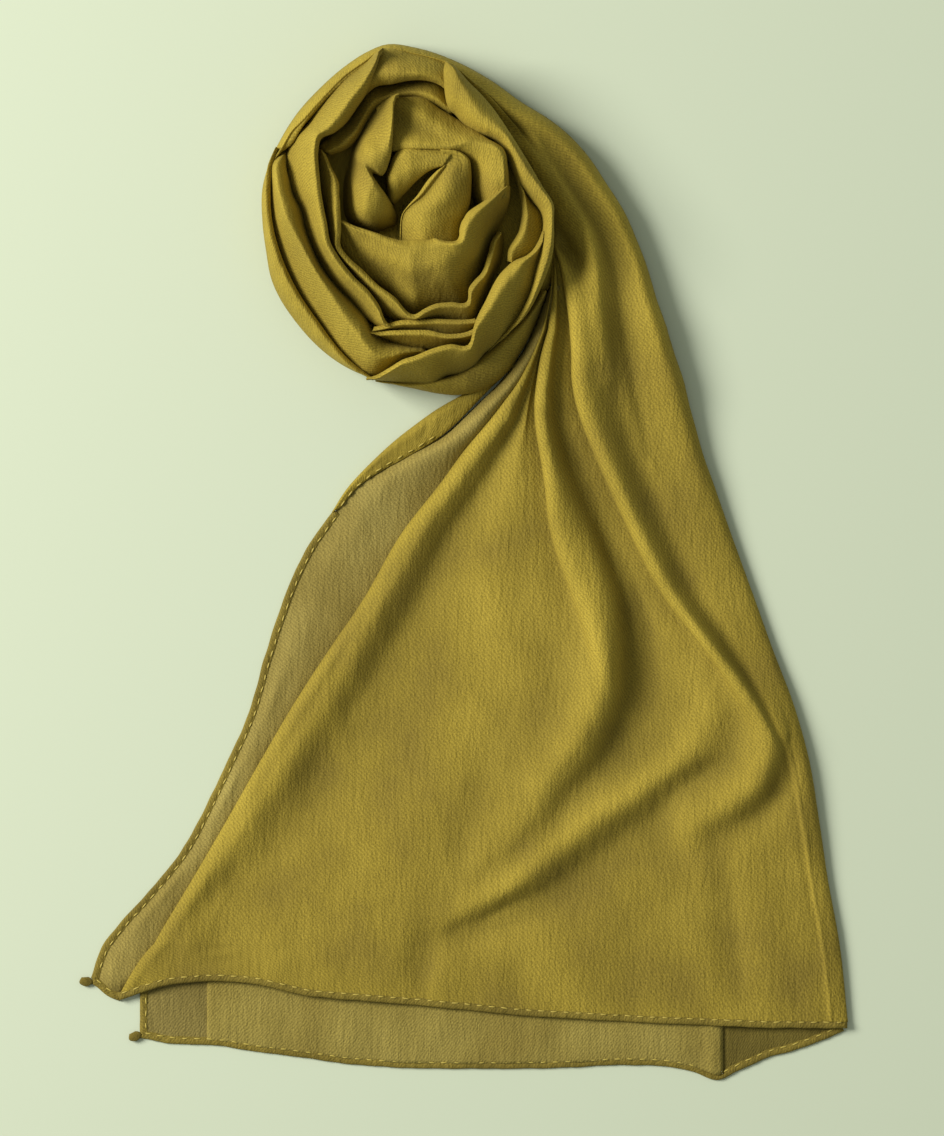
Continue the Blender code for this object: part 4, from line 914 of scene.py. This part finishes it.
def flap_grid():
    ys = np.arange(FLAP_TOP, FLAP_FOOT, FLAP_GAP)
    edge = table([(p.y, p.x) for p in FLAP_EDGE], ys)[:, 0]
    right = table([(r.y, r.left) for r in RAILS], ys)[:, 0] + FLAP_UNDER
    right += 0.3 * np.maximum(ys - TAIL_TOP, 0)
    grid = []
    for y, x0, x1 in zip(ys, edge, right):
        x1 = max(x1, x0 + 6.0)
        near = min(max((y - 15) / 85, 0), 1)
        top = blend(1.2, 15.0, near * near * (3 - 2 * near))
        row = []
        for t in np.linspace(0, 1, FLAP_COLUMNS):
            x = x0 + (x1 - x0) * t
            z = 0.9 + top * math.sin(math.pi * min(0.94 * t, 1)) ** blend(1.4, 0.65, near)
            swell = 0.5 + noise.noise(Vector((0, y / 40, 5)))
            z += 1.5 * math.exp(-((t - 0.28) / 0.16) ** 2) * swell
            z += 0.7 * (1 + noise.noise(Vector((x / 11, y / 26, 21.0)))) * math.sin(math.pi * t)
            row.append((x, y, z))
        grid.append(row)
    end = [(x, height_of(FLAP_END, x), 0.9)
           for x in np.linspace(-183.5, -158.0, FLAP_COLUMNS)]
    grid.append(end)
    return np.array(grid)


cloth_piece("flap_cloth", flap_grid(), ("flap_panel",), sheer)

# The fold at the strip's outside, the stitched edge at its inside, and its height.
Strip = namedtuple("Strip", "fold_x fold_y edge_x edge_y top")
TURNBACK = rows_of(
    Strip, (22.0, 96.0, 27.0, 100.0, 7.0), (8.0, 88.5, 12.0, 86.0, 6.5),
    (-9.8, 78.7, -8.0, 66.0, 6.0), (-22.0, 70.5, -25.5, 54.5, 5.2),
    (-38.5, 57.5, -41.2, 46.0, 4.4), (-56.5, 39.5, -53.0, 38.0, 3.6),
    (-66.0, 25.5, -62.0, 27.4, 2.6),
)
turn_steps = np.linspace(0, len(TURNBACK) - 1, 70)
turn_values = spline(range(len(TURNBACK)), TURNBACK, turn_steps)
turn_rows = []
for step, (x0, y0, x1, y1, top) in zip(turn_steps, turn_values):
    row = []
    for t, z in ((0.12, 0.6), (0.0, 1.0), (-0.03, 0.45 * top), (0.06, 0.8 * top), (0.22, top),
                 (0.55, 0.92 * top), (0.85, 0.80 * top), (1.0, 0.66 * top)):
        dent = 0.10 * top * noise.noise(Vector((step * 3.1, t * 2.0, 40.0)))
        row.append((x0 + (x1 - x0) * t, y0 + (y1 - y0) * t, z + dent * min(1, max(0, t * 4))))
    turn_rows.append(smooth_section(row, (2, 2, 2, 3, 5, 5, 3)))
turnback_points = np.array(turn_rows)
cloth_piece("turnback_cloth", turnback_points, ("flap_turnback",), olive)

# Its raw edge is rolled and sewn like the hems, with the same pale thread.
STITCH_PITCH, STITCH_LONG, STITCH_WIDE = 6.2, 3.7, 0.75
thread = bpy.data.materials.new("olive_thread")
thread.use_nodes = True
thread_shader = thread.node_tree.nodes["Principled BSDF"]
thread_shader.inputs["Base Color"].default_value = srgb("#b7a448")
thread_shader.inputs["Roughness"].default_value = 0.55


def sew(name, points, long=STITCH_LONG, wide=STITCH_WIDE):
    """A run of stitches lying on a line of points (x, y, z)."""
    points = np.asarray(points, float)
    keys = lengths_along(points)
    seam = bmesh.new()
    places = np.arange(STITCH_PITCH * 0.6, keys[-1] - STITCH_PITCH * 0.5, STITCH_PITCH)
    for k, s in enumerate(places):
        here, ahead = (np.array([np.interp(q, keys, points[:, n]) for n in range(3)])
                       for q in (s, s + 1.0))
        tilt = math.atan2(ahead[1] - here[1], ahead[0] - here[0]) + 0.10 * math.sin(2.4 * k)
        size = 1 + 0.12 * math.sin(1.7 * k)
        old = set(seam.verts)
        bmesh.ops.create_uvsphere(seam, u_segments=8, v_segments=5, radius=0.5)
        for vert in seam.verts:
            if vert in old:
                continue
            x, y, z = vert.co.x * long * size, vert.co.y * wide, vert.co.z * 0.7
            z -= 0.05 * x * x
            vert.co = Vector((here[0] + x * math.cos(tilt) - y * math.sin(tilt),
                              here[1] + x * math.sin(tilt) + y * math.cos(tilt),
                              here[2] + 0.12 + z)) * MM
    data = bpy.data.meshes.new(name)
    seam.to_mesh(data)
    seam.free()
    data.shade_smooth()
    data.materials.append(thread)
    stitches = bpy.data.objects.new(name, data)
    bpy.context.scene.collection.objects.link(stitches)
    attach(stitches, "root")


sew("turnback_stitches", [row[-4] + np.array((0, 0, 0.3)) for row in turnback_points[26:]])


# The back.
# The rear layer of the folded tail shows as a strip below the front hem. It too is one
# layer, so it is paler than the front, and a fold at its right end makes a corner, which is
# coloured darker as painted shade for the recess under the fold.

back_sheer = make_cloth("olive_back", "#8a7936", "#95853f", "#a09048", alpha=0.93)
back_double = make_cloth("olive_back_double", "#766832", "#80723a", "#8a7b41")
# painted shade: the corner past the fold gets a darker olive for the shade in the recess under it
painted_shade_corner_cloth = make_cloth("olive_back_corner_painted_shade", "#5f531f", "#6a5d24", "#75682b")
BACK_EDGE = rows_of(
    Point, (-162, -237.5), (-148, -240.0), (-121, -241.5), (-106, -244.0), (-87, -246.4),
    (-52, -251.0), (-32, -252.3), (0, -252.8), (45, -252.5), (87, -251.0), (103, -252.0),
    (115, -254.5), (127, -258.5), (136, -254.5), (151.5, -247.5), (167, -243.0), (182, -237.5),
    (190.0, -234.0),
)


BACK_UNDER = -200.0   # y up to which the strip goes in below the front
BACK_ROWS = 30
HEM_DOWN = 0.1        # height of a hem that lies on the table


def back_part(name, left, right, nodes, material, level, count):
    grid = []
    for x in np.linspace(left, right, count):
        low = height_of(BACK_EDGE, x) + HEM * 0.6
        high = -195.0 + 25 * max(0, (abs(x) - 130) / 60)
        column = []
        for t in np.linspace(0, 1, BACK_ROWS):
            y = low + (min(high, BACK_UNDER) - low) * t
            bend = math.sin(math.pi * min(0.15 + t * 1.4, 1))
            z = level + 0.9 * (1 + noise.noise(Vector((x / 13, y / 24, 31.0)))) * bend
            z += 1.6 * math.exp(-((x - 124) / 4.5) ** 2) * (1 - t) * (level > 1)
            column.append((x, y, z))
        grid.append(column)
    return cloth_piece(name, np.array(grid), nodes, material)


back_part("back_left_cloth", -160.0, -124.0, (), back_double, 0.7, 20)
back_part("back_cloth", -128.5, 129.5, ("back_panel",), back_sheer, 1.3, 116)
# the corner's darker colour is painted shade
back_part("back_corner_cloth", 125.0, 189.0, (), painted_shade_corner_cloth, 0.7, 34)


# The hems.
# Every raw edge is rolled twice and sewn down by machine: a narrow, slightly puckered roll
# with a run of pale stitches near its inner side, and a small knot at each corner.

HEM_THICK = 1.7
hem_cloth = make_cloth("olive_hem_cloth", "#6f6024", "#7d6d2a", "#8a7930")


def hem_and_stitches(name, outer, nodes, lifts, wide=HEM):
    """A hem whose outer side follows points (x, y), with its body to the left of the way."""
    outer = np.asarray(outer, float)
    keys = lengths_along(outer)
    count = max(int(keys[-1] / 1.6), 8)
    at = np.linspace(0, keys[-1], count)
    path = spline(keys, outer, at)
    lift = np.interp(at, keys, lifts)
    way = np.gradient(path, axis=0)
    way /= np.linalg.norm(way, axis=1)[:, None]
    inward = np.stack((-way[:, 1], way[:, 0]), axis=1)
    profile = np.array((
        (0.0, 0.45), (0.05, 0.72), (0.2, 0.95), (0.45, 1.0), (0.72, 0.9), (0.8, 0.78),
        (0.88, 0.86), (1.0, 0.55), (0.97, 0.2), (0.8, 0.0), (0.2, 0.0), (0.03, 0.2),
    ))
    grid = []
    for k in range(count):
        pucker = 1 + 0.10 * math.sin(2 * math.pi * at[k] / STITCH_PITCH)
        wobble = 0.35 * noise.noise(Vector((at[k] / 9, 0.0, len(name))))
        ring = []
        for d, z in np.concatenate((profile, profile[:1])):
            p = path[k] + inward[k] * (d * wide + wobble)
            ring.append((p[0], p[1], lift[k] + HEM_THICK * z * pucker))
        grid.append(ring)
    mesh = bpy.data.meshes.new(name)
    grid = np.array(grid)[:, :-1]
    columns = grid.shape[1]
    faces = [
        (r * columns + c, r * columns + (c + 1) % columns,
         (r + 1) * columns + (c + 1) % columns, (r + 1) * columns + c)
        for r in range(count - 1) for c in range(columns)
    ]
    faces += [tuple(range(columns))[::-1], tuple(range((count - 1) * columns, count * columns))]
    mesh.from_pydata((grid.reshape(-1, 3) * MM).tolist(), [], faces)
    layer = mesh.uv_layers.new(name="cloth")
    for loop in mesh.loops:
        v = loop.vertex_index
        layer.data[loop.index].uv = (at[v // columns] * MM, (v % columns) * 0.9 * MM)
    mesh.shade_smooth()
    shape = bmesh.new()
    shape.from_mesh(mesh)
    if shape.calc_volume(signed=True) < 0:
        bmesh.ops.reverse_faces(shape, faces=shape.faces[:])
    shape.to_mesh(mesh)
    shape.free()
    mesh.materials.append(hem_cloth)
    hem = bpy.data.objects.new(name, mesh)
    bpy.context.scene.collection.objects.link(hem)
    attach(hem, "root")
    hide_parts(*nodes)

    seam = path + inward * wide * 0.76
    sew(name + "_stitches", np.column_stack((seam, lift + HEM_THICK * 0.86)))


front_low = front_points[-1]
front_xs = np.linspace(-172.0, 191.5, 60)
front_path = [(x, height_of(FRONT_EDGE, x)) for x in front_xs]
order = np.argsort(front_low[:, 0])
front_lift = np.interp(front_xs, front_low[order, 0], front_low[order, 2]) - 1.3
front_lift = np.maximum(front_lift, 1.9)
hem_and_stitches("front_hem_roll", front_path, ("front_hem",), front_lift)

FLAP_SIDE = rows_of(
    Point, (-65.0, 26.5), (-70.0, 20.0), (-77.0, 10.0), (-83.5, -2.0), (-93.0, -26.0),
    (-100.0, -48.0), (-107.5, -74.5), (-119.0, -100.5), (-130.5, -124.5), (-142.0, -145.0),
    (-151.0, -156.5), (-161.0, -168.0), (-172.5, -180.5), (-181.0, -192.0), (-186.5, -207.5),
)
hem_and_stitches("flap_side_hem_roll", FLAP_SIDE, ("flap_side_hem",), [HEM_DOWN] * len(FLAP_SIDE))
flap_end_path = ((-187.0, -210.0), (-184.3, -211.6), (-178.0, -216.5), (-172.0, -219.0))
hem_and_stitches("flap_end_hem_roll", flap_end_path, ("flap_end_hem",), [HEM_DOWN] * 4)
hem_and_stitches("back_hem_roll", BACK_EDGE, ("back_hem",), [HEM_DOWN] * len(BACK_EDGE))
back_side_path = ((-162, -209), (-162, -222), (-162, -236.5))
hem_and_stitches("back_side_hem_roll", back_side_path, ("back_side_hem",), [HEM_DOWN] * 3)

for name, node, x, y, angle in (
    ("flap_knot", "knot_flap", -189.0, -209.2, 176),
    ("back_knot", "knot_back", -164.5, -236.6, 200),
):
    bpy.ops.mesh.primitive_uv_sphere_add(segments=20, ring_count=12, radius=1.0)
    knot = bpy.context.object
    knot.name = name
    turn = math.radians(angle)
    for vert in knot.data.vertices:
        n = 1 + 0.18 * noise.noise(vert.co * 1.8)
        px, py, pz = vert.co.x * 3.4 * n, vert.co.y * 2.3 * n, vert.co.z * 1.5 * n
        vert.co = Vector((x + px * math.cos(turn) - py * math.sin(turn),
                          y + px * math.sin(turn) + py * math.cos(turn), 1.6 + pz)) * MM
    knot.data.shade_smooth()
    knot.data.materials.append(hem_cloth)
    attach(knot, "root")
    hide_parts(node)


# The setting.
# A plain pale sage table, soft light from the upper left, and the camera straight above.

bpy.ops.mesh.primitive_plane_add(size=6.0, location=(0, 0, 0))
floor = bpy.context.object
floor.name = "floor"
paper = bpy.data.materials.new("pale_sage")
paper.use_nodes = True
paper.node_tree.nodes["Principled BSDF"].inputs["Base Color"].default_value = srgb("#ccd6bd")
paper.node_tree.nodes["Principled BSDF"].inputs["Roughness"].default_value = 0.9
floor.data.materials.append(paper)

KEY_FROM, KEY_SIZE, KEY_POWER = (-2.2, 0.75, 1.75), 1.5, 112.0
key_data = bpy.data.lights.new("key", "AREA")
key_data.shape = "DISK"
key_data.size = KEY_SIZE
key_data.energy = KEY_POWER
key_data.color = (1.0, 0.97, 0.92)
key = bpy.data.objects.new("key", key_data)
key.location = KEY_FROM
key.rotation_euler = (Vector((0, 0, 0)) - Vector(KEY_FROM)).to_track_quat("-Z", "Y").to_euler()
bpy.context.scene.collection.objects.link(key)

world = bpy.data.worlds.new("soft_studio")
world.use_nodes = True
world.node_tree.nodes["Background"].inputs["Color"].default_value = (0.92, 0.97, 0.90, 1.0)
world.node_tree.nodes["Background"].inputs["Strength"].default_value = 0.34
bpy.context.scene.world = world
bpy.context.scene.view_settings.view_transform = "Standard"

CAMERA_HIGH = 4.0
SENSOR = 36.0
FRAME_TALL = 0.568    # metres of the table that the picture shows from top to bottom
camera_data = bpy.data.cameras.new("camera")
camera_data.sensor_width = SENSOR
camera_data.lens = SENSOR * CAMERA_HIGH / FRAME_TALL
camera = bpy.data.objects.new("camera", camera_data)
camera.location = (0.004, -0.0025, CAMERA_HIGH)
bpy.context.scene.collection.objects.link(camera)
bpy.context.scene.camera = camera
